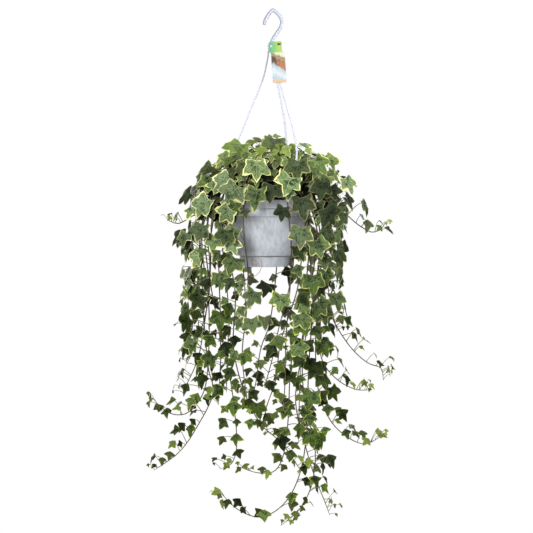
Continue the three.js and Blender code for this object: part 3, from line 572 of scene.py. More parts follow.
def trailing_stem(index, route, draws):
    x, y, _ = route[0]
    angle = math.atan2(y, x - POT_X)
    root = OUTER_ROOTS if index % 2 == 0 else INNER_ROOTS
    lift = draws.between(0, CREST_SPREAD)
    knots = [
        turned(angle, root, SOIL_TOP - STEM_DEPTH + GAP),
        turned(angle, root, RIM_TOP - 5),
        turned(angle, CREST_RADIUS, RIM_TOP + CREST_RISE + lift),
        turned(angle, OVER_RIM_RADIUS, RIM_TOP + OVER_RIM_RISE + lift),
    ]
    return Stem(f"trailing_stem_{index + 1:02d}", knots + [vector(*point) for point in route])


def crown_stem(index, draws):
    angle = index * GOLDEN_ANGLE + 0.35
    root = CROWN_ROOTS[0] + CROWN_ROOTS[1] * math.sqrt((index + 0.5) / CROWN_STEMS)
    height = draws.between(*CROWN_HEIGHTS)
    reach = draws.between(*CROWN_REACHES)
    sway = draws.between(-CROWN_SWAY, CROWN_SWAY)
    knots = [
        turned(angle, root, SOIL_TOP - STEM_DEPTH + GAP),
        turned(angle, root, RIM_TOP - 5),
        turned(angle, root + 7, RIM_TOP + height * 0.6),
        turned(angle + sway, root + reach * 0.6, RIM_TOP + height),
        turned(angle + 2 * sway, root + reach, RIM_TOP + height - 4),
    ]
    return Stem(f"crown_stem_{index + 1:02d}", knots)


def front_share(point):
    """1 where the plant is seen from the front, falling to 0 behind."""
    return min(1.0, max(0.0, (BEHIND - point[1]) / (BEHIND - BEFORE)))


def crown_face(joint, dome, jitter, front=CROWN_FACES_FRONT):
    """The way a blade of the crown faces: out, up, and more to the front on that side."""
    face = dome + UP * CROWN_FACES_UP + np.array(jitter)
    return unit(face + FRONT * (front * (0.3 + 0.7 * front_share(joint))))


def towards_light(point, rise):
    """Away from the pot and up to the light, and more to the front on that side."""
    front = front_share(point)
    return unit(outward(point) * (1 - 0.45 * front) + FRONT * 0.75 * front + UP * rise)


def strap_line(route, angle, step):
    """A strap's centre line, from under the hub down to its clip on the rim."""
    knots = [vector(route[0][0], route[0][1], HUB_FOOT - GAP)]
    knots += [vector(*point) for point in route]
    knots.append(turned(angle, RIM_RADIUS - 1, RIM_TOP + 1.5))
    return smooth_line(knots, step)[0]


class Plant:
    """The stems with their leaves, grown in the model's order and by its draws."""

    def __init__(self):
        self.draws = Draws(PLANT_SEED)
        self.trailing = [trailing_stem(i, route, self.draws) for i, route in enumerate(TRAILING)]
        self.crown = [crown_stem(i, self.draws) for i in range(CROWN_STEMS)]
        self.stems = self.trailing + self.crown
        self.filled = Filled(CELL, 1)
        self.lines = [stem.line for stem in self.stems]
        for _, degrees, route in STRAPS:
            self.lines.append(strap_line(route, math.radians(degrees), COARSE_STRAP_STEP))
        for line in self.lines:
            for start, end in zip(line, line[1:]):
                self.filled.mark(line_samples(start, end, 0))
        self.crown_places = [
            (stem, place) for stem in self.stems for place in self.places_in_crown(stem)
        ]
        self.crown_points = np.array([place[2] for _, place in self.crown_places])
        for stem in self.trailing:
            if stem.length < SHORT_STEM:
                self.grow_along(stem)
        for index in range(CROWN_LEAVES):
            self.grow_crown_leaf(index)
        for stem in self.trailing:
            if stem.length >= SHORT_STEM:
                self.grow_along(stem)

    def places_in_crown(self, stem):
        for distance in np.arange(CROWN_FIRST_NODE, stem.length, CROWN_NODE_STEP):
            place = stem.at(distance)
            x, y, z = place[2]
            if z >= CROWN_STEMS_FOOT and math.hypot(x - POT_X, y) <= CROWN_STEMS_TO:
                yield place

    def grow(self, leaf):
        """Adds the leaf if its petiole leaves a free face of the stem and nothing crosses it."""
        rising = unit(leaf.joint - leaf.root)
        if rising @ leaf.face < LEAST_RISE or in_view(leaf.joint):
            return False
        side = leaf.stem.face_towards(leaf.stretch, rising)
        if side < 0:
            return False
        blade = leaf.samples()
        if inside_pot(blade, CLEAR_OF_POT).any() or not self.filled.free(blade):
            return False
        petiole = petiole_points(leaf)
        if inside_wall(petiole, CLEAR_OF_POT).any() or not self.filled.free(petiole):
            return False
        leaf.stem.leaves.append(leaf)
        leaf.stem.taken.add((leaf.stretch, side))
        self.filled.mark(blade)
        self.filled.mark(line_samples(leaf.root, leaf.joint, 0))
        return True

    def grow_crown_leaf(self, index):
        draws = self.draws
        height = 1 - (1 - CROWN_LOWEST) * (index + 0.5) / CROWN_LEAVES
        ring = math.sqrt(1 - height * height)
        for tries in range(CROWN_TRIES):
            angle = index * GOLDEN_ANGLE + draws.between(-0.12, 0.12)
            depth = draws.between(*CROWN_DEPTHS) - 0.03 * tries
            dome = vector(math.cos(angle) * ring, math.sin(angle) * ring, height)
            joint = CROWN_CENTRE + dome * CROWN_HALF * depth
            jitter = [draws.between(-most, most) for most in CROWN_JITTER]
            face = crown_face(joint, dome, jitter)
            swing = draws.between(-0.7, 0.7)
            pointing = vector(dome[0] - dome[1] * swing, dome[1] + dome[0] * swing, -0.75)
            size = draws.between(*CROWN_SIZES) - 1.4 * tries
            if in_window(joint):
                continue
            for stem, place in self.near_places(joint)[:NEAREST_NODES]:
                if np.linalg.norm(place[2] - joint) > LONGEST_PETIOLE:
                    break
                if self.grow(Leaf(stem, place, joint, face, pointing, size, draws)):
                    return

    def near_places(self, joint):
        """Stems with their places in the crown, nearest first, but none too near for a petiole."""
        far = np.linalg.norm(self.crown_points - joint, axis=1)
        order = np.argsort(far, kind="stable")
        return [self.crown_places[i] for i in order if far[i] > SHORTEST_PETIOLE]

    def grow_along(self, stem):
        draws = self.draws
        side = 1
        distance = FIRST_LEAF + draws.between(0, 20)
        while distance < stem.length - 4:
            share = distance / stem.length
            size = (LEAF_SIZE - LEAF_LOSS * share ** 3) * draws.between(*LEAF_SIZES)
            if size >= SMALLEST_BLADE:
                self.grow_trailing_leaf(stem, distance, side, size)
            side = -side
            distance += draws.between(*LEAF_STEPS) - 8 * distance / stem.length

    def grow_trailing_leaf(self, stem, distance, side, size):
        for tries in range(LEAF_TRIES):
            loose = 0.25 + 0.9 * tries / LEAF_TRIES
            if self.grow(trailing_leaf(stem, distance, side, size, loose, self.draws)):
                return


def trailing_leaf(stem, distance, side_sign, size, loose, draws):
    """A leaf beside a trailing stem, turned more freely the looser it is."""
    place = stem.at(distance)
    root, direction = place[2:]
    out = outward(root)
    side = np.cross(UP, out) * side_sign
    level = 1 - abs(direction[2])
    rising = towards_light(root, 0.3 + 0.9 * level)
    rising = rising + side * (0.7 + loose * draws.between(-1, 1))
    rising = rising + UP * loose * draws.between(-0.6, 0.6)
    rising = unit(rising + direction * draws.between(-0.2, 0.2))
    joint = root + rising * (size * draws.between(*PETIOLES) + 4)
    jitter = [draws.between(-0.4, 0.4) for _ in range(3)]
    face = unit(towards_light(root, 0.4 + 0.5 * level) + rising * 0.35 + np.array(jitter))
    pointing = UP * (-1 + 0.5 * level) + side * draws.between(-0.35, 0.85) + out * 0.25
    return Leaf(stem, place, joint, face, pointing, size, draws)


# What the model leaves out: smaller leaves between and beyond its own, and inside its crown. The
# crown's window is deeper and higher for them.
MORE_SEED = 90107
MORE_CELL = 2
MORE_TRIES = 12
MORE_CLEAR_OF_POT = 1.5
MORE_NEAREST_NODES = 8
MORE_LEAST_RISE = 0.2
MORE_WINDOW = (10, 6)

# Between a trailing stem's leaves: where the first stands, how far apart they are, how many times
# further near the rim and how much less at the tip, their size and how much less at the tip
MORE_FIRST = 48
MORE_STEPS = (10, 21)
MORE_APART = 3.9
MORE_CLOSER = 3.2
MORE_SIZE = 25
MORE_LOSS = 9
MORE_SIZES = (0.55, 0.92)

# To the right of this the added leaves are this many times further apart near the rim.
RIGHT_FROM = POT_X + 35
THIN_RIGHT = 1.7

# The youngest leaves, at each trailing stem's tip: how many, how far apart, the smallest, how much
# larger each time, and how many times longer their petioles are
TIP_LEAVES = 4
TIP_STEP = 7
TIP_SMALLEST = 5
TIP_GROWTH = 1.8
TIP_REACH = 1.5

# No added blade reaches further to the left or right than this.
LEFT_LIMIT = -203
RIGHT_LIMIT = 197

# The crown's layers: how many leaves, how low they reach, how far out they lie, their sizes, their
# painted shade (darkest deep inside the crown), how much they face the front and how loosely
CROWN_LAYERS = [
    (110, CROWN_LOWEST, (0.30, 0.55), (24, 32), 0.05, 0.75, 0.4),
    (180, CROWN_LOWEST, (0.55, 0.80), (20, 29), 0.17, 0.75, 0.5),
    (130, 0.42, (0.74, 0.97), (17, 27), 0.85, 0.20, 0.7),
    (90, CROWN_LOWEST, (0.84, 1.00), (15, 26), 1.00, 0.60, 0.9),
    (170, 0.70, (0.84, 1.00), (13, 22), 1.00, 0.50, 0.7),
]

# Only layers whose painted shade leaves them brighter than this have young leaves.
LIT_LAYER = 0.8

# Small leaves stand up from the top of the crown: the way they face, and then their joints, the
# ways they point and their sizes.
SPRIG_FACE = (0, -0.8, 1)
TOP_SPRIG = [
    ((2, -8, -199), (1, 0, 0.3), 12),
    ((-3, -8, -200), (-1, 0, -0.1), 11),
    ((-24, -14, -203), (-0.4, -0.3, -1), 14),
    ((-37, -12, -206), (0.3, -0.3, -1), 13),
]

# Under the pot one stem hangs bare: no added leaf starts this near to it.
BARE_X = -6
BARE_HALF = 21
BARE_FOOT = -520


class Fullness:
    """Adds the small leaves to a plant, clear of the leaves that it has."""

    def __init__(self, grown):
        self.plant = grown
        self.draws = Draws(MORE_SEED)
        self.filled = Filled(MORE_CELL, 0)
        for stem in grown.stems:
            for leaf in stem.leaves:
                self.mark(leaf)
        for line in grown.lines:
            for start, end in zip(line, line[1:]):
                self.filled.mark(line_samples(start, end, 0))
        for stem in grown.trailing:
            self.grow_between(stem)
            self.grow_tip(stem)
        for layer in CROWN_LAYERS:
            for index in range(layer[0]):
                self.grow_in_crown(index, *layer)
        self.grow_sprig()

    def mark(self, leaf):
        self.filled.mark(leaf.samples())

    def fits(self, leaf):
        x, _, z = leaf.joint
        beside_bare = abs(x - BARE_X) < BARE_HALF and BARE_FOOT < z < VIEW_FOOT
        if beside_bare or in_view(leaf.joint):
            return False
        blade = leaf.samples()
        if blade[:, 0].min() < LEFT_LIMIT or blade[:, 0].max() > RIGHT_LIMIT:
            return False
        if inside_pot(blade, MORE_CLEAR_OF_POT).any() or not self.filled.free(blade):
            return False
        petiole = petiole_points(leaf)
        if inside_wall(petiole, MORE_CLEAR_OF_POT).any():
            return False
        return self.filled.free(petiole)

    def add(self, leaf):
        self.mark(leaf)
        leaf.stem.leaves.append(leaf)

    def turned_freely(self, leaf):
        """The leaf, with its blade tilted and swung by draws."""
        draws = self.draws
        tilt = leaf.sideways * draws.between(-0.6, 0.6) + leaf.along * draws.between(-0.5, 0.5)
        leaf.face = unit(leaf.face + tilt)
        pointing = leaf.along + leaf.sideways * draws.between(-1.0, 1.0)
        leaf.along = unit(pointing - leaf.face * (pointing @ leaf.face))
        leaf.sideways = np.cross(leaf.along, leaf.face)
        return leaf

    def grow_between(self, stem):
        """Adds leaves along a trailing stem. Its fifth knot is the first outside the rim."""
        draws = self.draws
        thin = THIN_RIGHT if stem.knots[4][0] > RIGHT_FROM else 1.0
        distance = MORE_FIRST + draws.between(0, 12)
        side = -1
        while distance < stem.length - 6:
            share = distance / stem.length
            size = (MORE_SIZE - MORE_LOSS * share ** 3) * draws.between(*MORE_SIZES)
            for tries in range(MORE_TRIES):
                loose = 0.3 + tries / MORE_TRIES
                leaf = self.turned_freely(trailing_leaf(stem, distance, side, size, loose, draws))
                if self.fits(leaf):
                    leaf.young = max(0.0, share - 0.75) * 3
                    self.add(leaf)
                    break
            side = -side
            step = draws.between(*MORE_STEPS) * (MORE_APART - MORE_CLOSER * share)
            distance += step * (thin - (thin - 1) * share)

    def grow_tip(self, stem):
        draws = self.draws
        for i in range(TIP_LEAVES):
            distance = stem.length - 2 - TIP_STEP * i
            size = TIP_SMALLEST + TIP_GROWTH * i + draws.between(0, 2)
            side = 1 if i % 2 else -1
            for _ in range(MORE_TRIES):
                leaf = trailing_leaf(stem, distance, side, size, 0.6, draws)
                leaf.joint = leaf.root + (leaf.joint - leaf.root) * TIP_REACH
                if self.fits(self.turned_freely(leaf)):
                    leaf.young = 1 - 0.15 * i
                    self.add(leaf)
                    break

    def grow_in_crown(self, index, count, lowest, depths, sizes, tone, front, loose):
        draws = self.draws
        height = 1 - (1 - lowest) * (index + 0.5) / count
        ring = math.sqrt(1 - height * height)
        for tries in range(CROWN_TRIES):
            angle = index * GOLDEN_ANGLE + 1.7 + draws.between(-0.15, 0.15)
            dome = vector(math.cos(angle) * ring, math.sin(angle) * ring, height)
            joint = CROWN_CENTRE + dome * CROWN_HALF * draws.between(*depths)
            face = crown_face(joint, dome, [draws.between(-loose, loose) for _ in range(3)], front)
            swing = draws.between(-0.9, 0.9)
            pointing = vector(dome[0] - dome[1] * swing, dome[1] + dome[0] * swing, -0.7)
            size = draws.between(*sizes) - tries
            if in_window(joint, *MORE_WINDOW):
                continue
            for stem, place in self.plant.near_places(joint)[:MORE_NEAREST_NODES]:
                if np.linalg.norm(place[2] - joint) > LONGEST_PETIOLE:
                    break
                leaf = Leaf(stem, place, joint, face, pointing, size, draws)
                rising = unit(leaf.joint - leaf.root)
                if rising @ leaf.face > MORE_LEAST_RISE and self.fits(leaf):
                    leaf.young = draws.between(-1.0, 0.8) if tone > LIT_LAYER else 0.0
                    leaf.tone = tone
                    self.add(leaf)
                    return

    def grow_sprig(self):
        for place, pointing, size in TOP_SPRIG:
            joint = vector(*place)
            stem, root = self.plant.near_places(joint)[0]
            face = unit(vector(*SPRIG_FACE))
            leaf = Leaf(stem, root, joint, face, vector(*pointing), size, self.draws)
            leaf.young = 0.6
            self.add(leaf)


class Wire:
    """A socket of a finish's nodes, on which arithmetic adds Math nodes."""

    def __init__(self, finish, socket):
        self.finish = finish
        self.socket = socket

    def math(self, operation, *others):
        return self.finish.node("Math", {"operation": operation}, [self, *others])

    def __add__(self, other):
        return self.math("ADD", other)

    def __radd__(self, other):
        return self.math("ADD", other)

    def __sub__(self, other):
        return self.math("SUBTRACT", other)

    def __rsub__(self, other):
        return self.finish.node("Math", {"operation": "SUBTRACT"}, [other, self])

    def __mul__(self, other):
        return self.math("MULTIPLY", other)

    def __rmul__(self, other):
        return self.math("MULTIPLY", other)

    def __truediv__(self, other):
        return self.math("DIVIDE", other)

    def __abs__(self):
        return self.math("ABSOLUTE")

    def most(self, other):
        return self.math("MAXIMUM", other)

    def rising(self, low, high):
        """0 below low, 1 above high, and smooth between."""
        return self.finish.node(
            "MapRange", {"interpolation_type": "SMOOTHSTEP"}, [self, low, high, 0.0, 1.0]
        )


class Finish:
    """A material and the nodes of its surface."""

    def __init__(self, name, **sockets):
        self.material = bpy.data.materials.new(name)
        self.material.use_nodes = True
        self.tree = self.material.node_tree
        self.surface = self.tree.nodes["Principled BSDF"]
        for socket, value in sockets.items():
            self.set(socket.replace("_", " "), value)

    def feed(self, socket, value):
        if isinstance(value, Wire):
            self.tree.links.new(value.socket, socket)
        elif isinstance(value, tuple) and len(value) == 3 and socket.type == "RGBA":
            socket.default_value = (*value, 1)
        else:
            socket.default_value = value

    def set(self, socket, value):
        self.feed(self.surface.inputs[socket], value)

    def node(self, kind, settings=None, values=(), output=0):
        """A node of a kind, its settings first, then the values or links of its sockets."""
        made = self.tree.nodes.new("ShaderNode" + kind)
        for key, value in (settings or {}).items():
            setattr(made, key, value)
        given = values.items() if isinstance(values, dict) else enumerate(values)
        for key, value in given:
            self.feed(made.inputs[key], value)
        return Wire(self, made.outputs[output])

    def value(self, attribute):
        return self.node("Attribute", {"attribute_name": attribute}, output=2)

    def place(self):
        return self.node("TexCoord", output=3)

    def parts(self, arrow):
        made = self.node("SeparateXYZ", values=[arrow]).socket.node
        return [Wire(self, socket) for socket in made.outputs]

    def mix(self, start, end, share, blend="MIX"):
        made = self.node("Mix", {"data_type": "RGBA", "blend_type": blend}).socket.node
        for index, value in ((0, share), (6, start), (7, end)):
            self.feed(made.inputs[index], value)
        return Wire(self, made.outputs[2])

    def noise(self, arrow, scale, detail=2.0, roughness=0.5):
        values = {"Vector": arrow, "Scale": scale, "Detail": detail, "Roughness": roughness}
        return self.node("TexNoise", values=values)

    def bump(self, height, distance, strength=1.0):
        values = {"Height": height, "Distance": distance, "Strength": strength}
        self.set("Normal", self.node("Bump", values=values))


# Colours, in linear light
DARK_GREEN = (0.010, 0.023, 0.004)
LEAF_GREEN = (0.060, 0.100, 0.013)
GREY_GREEN = (0.112, 0.154, 0.076)
YOUNG_GREEN = (0.138, 0.176, 0.034)
CREAM = (0.555, 0.535, 0.265)
YELLOW_GREEN = (0.320, 0.350, 0.070)
VEIN_GREEN = (0.220, 0.275, 0.150)
BARK = (0.050, 0.030, 0.018)
UNDER_GREEN = (0.110, 0.155, 0.055)
UNDER_GREY = (0.160, 0.200, 0.115)
UNDER_VEIN = (0.270, 0.310, 0.180)
UNDER_MARGIN = (0.42, 0.43, 0.22)
BARK_FLECK = (0.105, 0.075, 0.042)
PETIOLE_GREEN = (0.190, 0.210, 0.080)
PETIOLE_RED = (0.120, 0.052, 0.040)
TENDRIL_DARK = (0.17, 0.10, 0.08)
TENDRIL_PALE = (0.32, 0.23, 0.18)
POT_PALE = (0.452, 0.476, 0.522)
POT_GREY = (0.255, 0.270, 0.284)
# Painted shade in the pot's grooves
POT_GROOVE_SHADE = (0.150, 0.155, 0.165)
SOIL_DUST = (0.16, 0.12, 0.08)
HANGER_PALE = (0.47, 0.48, 0.56)
HANGER_GREY = (0.40, 0.41, 0.49)
# Painted shade on the hanger's flanges and on the left strap's top
HANGER_SHADE = (0.13, 0.15, 0.20)
PRINT_BLUE = (0.30, 0.37, 0.41)
PRINT_PALE_BLUE = (0.44, 0.48, 0.49)
PRINT_DARK_BROWN = (0.055, 0.022, 0.010)
PRINT_BROWN = (0.30, 0.115, 0.045)
PRINT_OLIVE = (0.21, 0.17, 0.055)
PRINT_CREAM = (0.52, 0.48, 0.38)
PRINT_PEACH = (0.48, 0.32, 0.18)
PRINT_GREEN = (0.085, 0.30, 0.13)
PRINT_LIME = (0.26, 0.40, 0.06)
SLOT_SHADE_BLACK = (0.008, 0.008, 0.006)

# The main veins of half a blade: their angles from the midrib, and how far out they reach
VEINS = ((0, 1.0), (58, 0.82), (128, 0.5))


def shaded(colour, bright):
    return tuple(channel * bright for channel in colour)


def band(value, low, high, soft=0.004):
    """1 between low and high, and 0 outside them."""
    return value.rising(low - soft, low + soft) * (1 - value.rising(high - soft, high + soft))


def ray_distances(across, along, degrees):
    """How far a spot of a blade is from a vein at an angle, and how far out along it."""
    sine, cosine = math.sin(math.radians(degrees)), math.cos(math.radians(degrees))
    beside = abs(across * cosine - along * sine)
    return beside, across * sine + along * cosine


def vein_mask(across, along):
    """1 on the middle of the main veins, which thin out towards their tips."""
    mask = None
    for degrees, reach in VEINS:
        beside, out = ray_distances(across, along, degrees)
        width = 0.034 - out * (0.024 / reach)
        vein = (1 - beside / width.most(0.004)).most(0.0) * out.rising(0.0, 0.03)
        mask = vein if mask is None else mask.most(vein)
    return mask


def blade_places(finish):
    """How far across and along the blade a spot is, and where in its leaf's own pattern."""
    x, y, _ = finish.parts(finish.node("UVMap", {"uv_map": "blade"}))
    along = y * 2 - 1
    spot = finish.node("CombineXYZ", values=[x * 2 - 1, along, finish.value("seed") * 37])
    return abs(x * 2 - 1), along, spot


def toned(finish, colour):
    """The colour, times its leaf's tone: random, with painted shade deep in the crown."""
    tone = finish.value("tone")
    shade = finish.node("CombineColor", values=[tone, tone, tone])
    return finish.mix(colour, shade, 1.0, "MULTIPLY")


def leaf_finish():
    """Green blotches round pale veins, with a ragged cream or yellow margin."""
    finish = Finish("ivy_leaf", Specular_IOR_Level=0.07)
    across, along, spot = blade_places(finish)
    out, grey, young = finish.value("out"), finish.value("grey"), finish.value("young")
    veins = vein_mask(across, along)
    broad = finish.noise(spot, 1.6, 1.0)
    patches = finish.noise(spot, 3.2, 3.0, 0.6)
    mottle = finish.noise(spot, 9.0, 3.0, 0.7)
    fine = finish.noise(spot, 22.0, 2.0)

    pale = finish.mix(LEAF_GREEN, GREY_GREEN, grey)
    blotch = out * 0.42 + patches + (broad - 0.5) * 0.5 + grey * 0.06
    centre = finish.mix(DARK_GREEN, pale, blotch.rising(0.56, 0.76))
    centre = finish.mix(centre, DARK_GREEN, mottle.rising(0.5, 0.72) * 0.75)
    centre = finish.mix(centre, VEIN_GREEN, mottle.rising(0.58, 0.38) * grey * 0.45)
    centre = finish.mix(centre, DARK_GREEN, (fine - 0.35).rising(0.05, 0.3) * 0.3)
    centre = finish.mix(centre, YOUNG_GREEN, young)
    centre = finish.mix(centre, VEIN_GREEN, veins * (0.35 + 0.5 * grey))
    margin_colour = finish.mix(YELLOW_GREEN, CREAM, grey)
    ragged = (broad - 0.5) * 0.30 + (patches - 0.5) * 0.26
    edge = out + ragged + grey * 0.035 - young * 0.03
    margin = edge.rising(0.928, 0.955) * (0.6 + 0.25 * grey + broad.rising(0.4, 0.6) * 0.3)
    streak = (out + (patches - 0.5) * 1.1 + (broad - 0.5) * 0.7).rising(0.98, 1.08) * grey * 0.7
    colour = finish.mix(centre, margin_colour, margin.most(streak))
    finish.set("Base Color", toned(finish, colour))
    finish.set("Roughness", 0.36 + fine * 0.25)
    finish.bump(fine * 0.25 + patches * 0.6 - veins, 0.0005, 0.7)
    return finish.material


def underside_finish():
    finish = Finish("ivy_leaf_underside", Roughness=0.65, Specular_IOR_Level=0.05)
    across, along, spot = blade_places(finish)
    out, grey, young = finish.value("out"), finish.value("grey"), finish.value("young")
    veins = vein_mask(across, along)
    broad = finish.noise(spot, 1.6, 1.0)
    pale = finish.mix(UNDER_GREEN, UNDER_GREY, grey)
    pale = finish.mix(pale, YOUNG_GREEN, young)
    pale = finish.mix(pale, UNDER_VEIN, veins * 0.6)
    margin = (out + (broad - 0.5) * 0.4 + grey * 0.06).rising(0.86, 0.92)
    finish.set("Base Color", toned(finish, finish.mix(pale, UNDER_MARGIN, margin)))
    finish.bump(veins + finish.noise(spot, 18.0) * 0.2, 0.0004, 0.6)
    return finish.material


def stem_finish():
    """Brown bark on old stems, and green to red skin on young ones and on petioles."""
    finish = Finish("ivy_stem", Roughness=0.6)
    young = finish.value("young")
    specks = finish.noise(finish.place(), 420.0, 3.0, 0.6)
    streaks = finish.noise(finish.place(), 90.0, 2.0)
    greener = (streaks + young * 0.5 - 0.2).rising(0.35, 0.75)
    green = finish.mix(PETIOLE_RED, PETIOLE_GREEN, greener)
    bark = finish.mix(BARK, BARK_FLECK, specks.rising(0.45, 0.7))
    finish.set("Base Color", finish.mix(bark, green, young))
    finish.bump(specks, 0.0003, 0.5)
    return finish.material


def pot_finish(name, bright):
    """Satin plastic with faint upright streaks, cloudy patches, and dust of soil up by the rim."""
    finish = Finish(name, IOR=1.46)
    x, y, z = finish.parts(finish.place())
    drawn = finish.node("CombineXYZ", values=[x * 260, y * 260, z * 9])
    streaks = finish.noise(drawn, 1.0, 4.0, 0.6)
    cloud = finish.noise(finish.place(), 26.0, 3.0, 0.55)
    specks = finish.noise(finish.place(), 700.0, 3.0, 0.7)
    high = z.rising(RIM_TOP * MM - 0.02, RIM_TOP * MM)
    grey = shaded(POT_GREY, bright)
    # Painted shade: bands at the heights of the lip's and the shoulder's grooves are darkened, as
    # shade in them.
    lip_shade = band(z, LIP_GROOVE[0] * MM, LIP_GROOVE[1] * MM, 0.0005)
    step = band(z, SHOULDER_GROOVE[0] * MM, SHOULDER_GROOVE[1] * MM, 0.0005)
    colour = finish.mix(shaded(POT_PALE, bright), grey, streaks.rising(0.38, 0.75) * 0.65)
    colour = finish.mix(colour, grey, cloud.rising(0.42, 0.72) * 0.55)
    dust = specks.rising(0.62, 0.72) * (cloud.rising(0.4, 0.6) * high * 0.6 + 0.06)
    colour = finish.mix(colour, POT_GROOVE_SHADE, lip_shade.most(step) * 0.6)
    finish.set("Base Color", finish.mix(colour, SOIL_DUST, dust))
    finish.set("Roughness", 0.34 + streaks * 0.16 + dust * 0.4)
    finish.bump(streaks * 0.6 + specks * 0.25, 0.00025, 0.5)
    return finish.material


def hanger_finish(name, bright):
    """Milky plastic, with painted shade where its edge layer is marked."""
    finish = Finish(name, IOR=1.48)
    edge = finish.value("edge")
    cloud = finish.noise(finish.place(), 60.0, 2.0)
    fine = finish.noise(finish.place(), 300.0, 2.0)
    pale, grey = shaded(HANGER_PALE, bright), shaded(HANGER_GREY, bright)
    colour = finish.mix(pale, grey, cloud.rising(0.4, 0.7) * 0.4)
    # Painted shade where the edge layer is marked
    finish.set("Base Color", finish.mix(colour, HANGER_SHADE, edge))
    finish.set("Roughness", 0.36 + cloud * 0.15)
    finish.bump(fine, 0.0001, 0.2)
    return finish.material


def soil_finish(name, dark, light, roughness=0.95):
    finish = Finish(name, Specular_IOR_Level=0.2)
    crumbs = finish.noise(finish.place(), 260.0, 5.0, 0.7)
    damp = finish.noise(finish.place(), 30.0, 2.0)
    colour = finish.mix(dark, light, crumbs.rising(0.42, 0.72))
    finish.set("Base Color", finish.mix(colour, dark, damp.rising(0.45, 0.6) * 0.5))
    finish.set("Roughness", roughness - damp * 0.15)
    finish.bump(crumbs, 0.0012, 0.9)
    return finish.material


def label_finish():
    """Coated card in plain bands of colour: green head, then cream, brown, pale blue and peach."""
    finish = Finish("label_print")
    sheet = finish.node("UVMap", {"uv_map": "print"})
    u, v, _ = finish.parts(sheet)
    waver = finish.noise(sheet, 7.0, 2.0)
    slope = v + (u - 0.5) * 0.26 + (waver - 0.5) * 0.16
    colour = finish.mix(PRINT_BLUE, PRINT_PALE_BLUE, band(slope, 0.20, 0.32, 0.05))
    brown = finish.mix(PRINT_DARK_BROWN, PRINT_BROWN, (u + waver - 0.5).rising(0.25, 0.75))
    colour = finish.mix(colour, brown, band(slope, 0.40, 0.57, 0.03))
    colour = finish.mix(colour, PRINT_OLIVE, band(slope, 0.56, 0.65, 0.035))
    colour = finish.mix(colour, PRINT_CREAM, slope.rising(0.62, 0.68))
    colour = finish.mix(colour, PRINT_PEACH, 1 - v.rising(0.125, 0.135))
    green = finish.mix(PRINT_GREEN, PRINT_LIME, (u * 0.9 + waver * 0.3).rising(0.35, 0.75))
    colour = finish.mix(colour, green, v.rising(0.672, 0.682))
    # Painted shade: a black slot near the head stands for a punched slot that shows dark.
    slot_shade = band(u, 0.545, 0.70) * band(v, 0.822, 0.860)
    grain = finish.noise(finish.place(), 1500.0, 2.0)
    finish.set("Base Color", finish.mix(colour, SLOT_SHADE_BLACK, slot_shade))
    finish.set("Roughness", 0.34 + grain * 0.14)
    finish.bump(grain, 0.00005, 0.3)
    return finish.material


def tendril_finish():
    finish = Finish("dry_tendril", Roughness=0.7)
    bark = finish.noise(finish.place(), 500.0, 3.0)
    finish.set("Base Color", finish.mix(TENDRIL_DARK, TENDRIL_PALE, bark.rising(0.4, 0.65)))
    finish.bump(bark, 0.0002, 0.5)
    return finish.material


def new_piece(name, bm, finishes, nodes=(), sharp=40):
    """An object of the finished mesh, scaled to metres, that stands for nodes of the model."""
    bmesh.ops.scale(bm, vec=(MM, MM, MM), verts=bm.verts)
    mesh = bpy.data.meshes.new(name)
    bm.to_mesh(mesh)
    bm.free()
    for finish in finishes:
        mesh.materials.append(finish)
    mesh.shade_smooth()
    if sharp:
        mesh.set_sharp_from_angle(angle=math.radians(sharp))
    piece = bpy.data.objects.new(name, mesh)
    bpy.context.scene.collection.objects.link(piece)
    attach(piece, "root")
    if nodes:
        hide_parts(*nodes)
    return piece


def only(kind, made):
    """The elements of one kind among those that an operator made."""
    return [element for element in made["geom"] if isinstance(element, kind)]


def sweep(bm, outline, line, side, size_at=lambda share: 1.0, paint=None, material=0):
    """A closed rod: an outline of sideways and upward shifts, extruded along a line of points."""
    places = []
    for i, (point, direction) in enumerate(zip(line, directions(line))):
        side, rise = side_and_rise(direction, side)
        size = size_at(i / (len(line) - 1))
        turn = np.column_stack((side * size, rise * size, direction * size, point))
        places.append(Matrix([*turn.tolist(), (0, 0, 0, 1)]))
    ring = [bm.verts.new(places[0] @ Vector((u, v, 0))) for u, v in outline]
    faces = [bm.faces.new(ring[::-1])]
    edges = list(faces[0].edges)
    if paint:
        paint(ring, 0.0)
    for i in range(1, len(places)):
        made = bmesh.ops.extrude_edge_only(bm, edges=edges)
        ring = only(bmesh.types.BMVert, made)
        edges = [edge for edge in only(bmesh.types.BMEdge, made) if edge.is_boundary]
        bmesh.ops.transform(bm, matrix=places[i] @ places[i - 1].inverted(), verts=ring)
        faces += only(bmesh.types.BMFace, made)
        if paint:
            paint(ring, i / (len(places) - 1))
    faces += bmesh.ops.contextual_create(bm, geom=edges)["faces"]
    for face in faces:
        face.material_index = material
    bmesh.ops.recalc_face_normals(bm, faces=faces)
    return faces


def polygon(sides):
    turn = 2 * math.pi / sides
    return [(math.cos(i * turn), math.sin(i * turn)) for i in range(sides)]


def blade_outline(corners):
    """The corners of a blade, with one more on each long side of a lobe, pushed out a little."""
    points = [
        Vector((math.sin(math.radians(degrees)), math.cos(math.radians(degrees)))) * reach
        for degrees, reach in corners
    ]
    outline = []
    for i, point in enumerate(points):
        after = points[(i + 1) % len(points)]
        outline.append(point)
        tip = point if i % 2 == 0 else after
        if tip.length < LONG_LOBE:
            continue
        bay = after if i % 2 == 0 else point
        middle = tip.lerp(bay, 0.5)
        push = Vector((-(bay - tip).y, (bay - tip).x)).normalized()
        if push.dot(middle) < 0 or abs(tip.x) < 0.01:
            push *= 1 if push.x * middle.x > 0 else -1
        outline.append(middle + push * BELLY)
    return outline


# A leafy stem's materials by index: 0 is the blades' upper side.
UNDERSIDE = 1
BARK_INDEX = 2


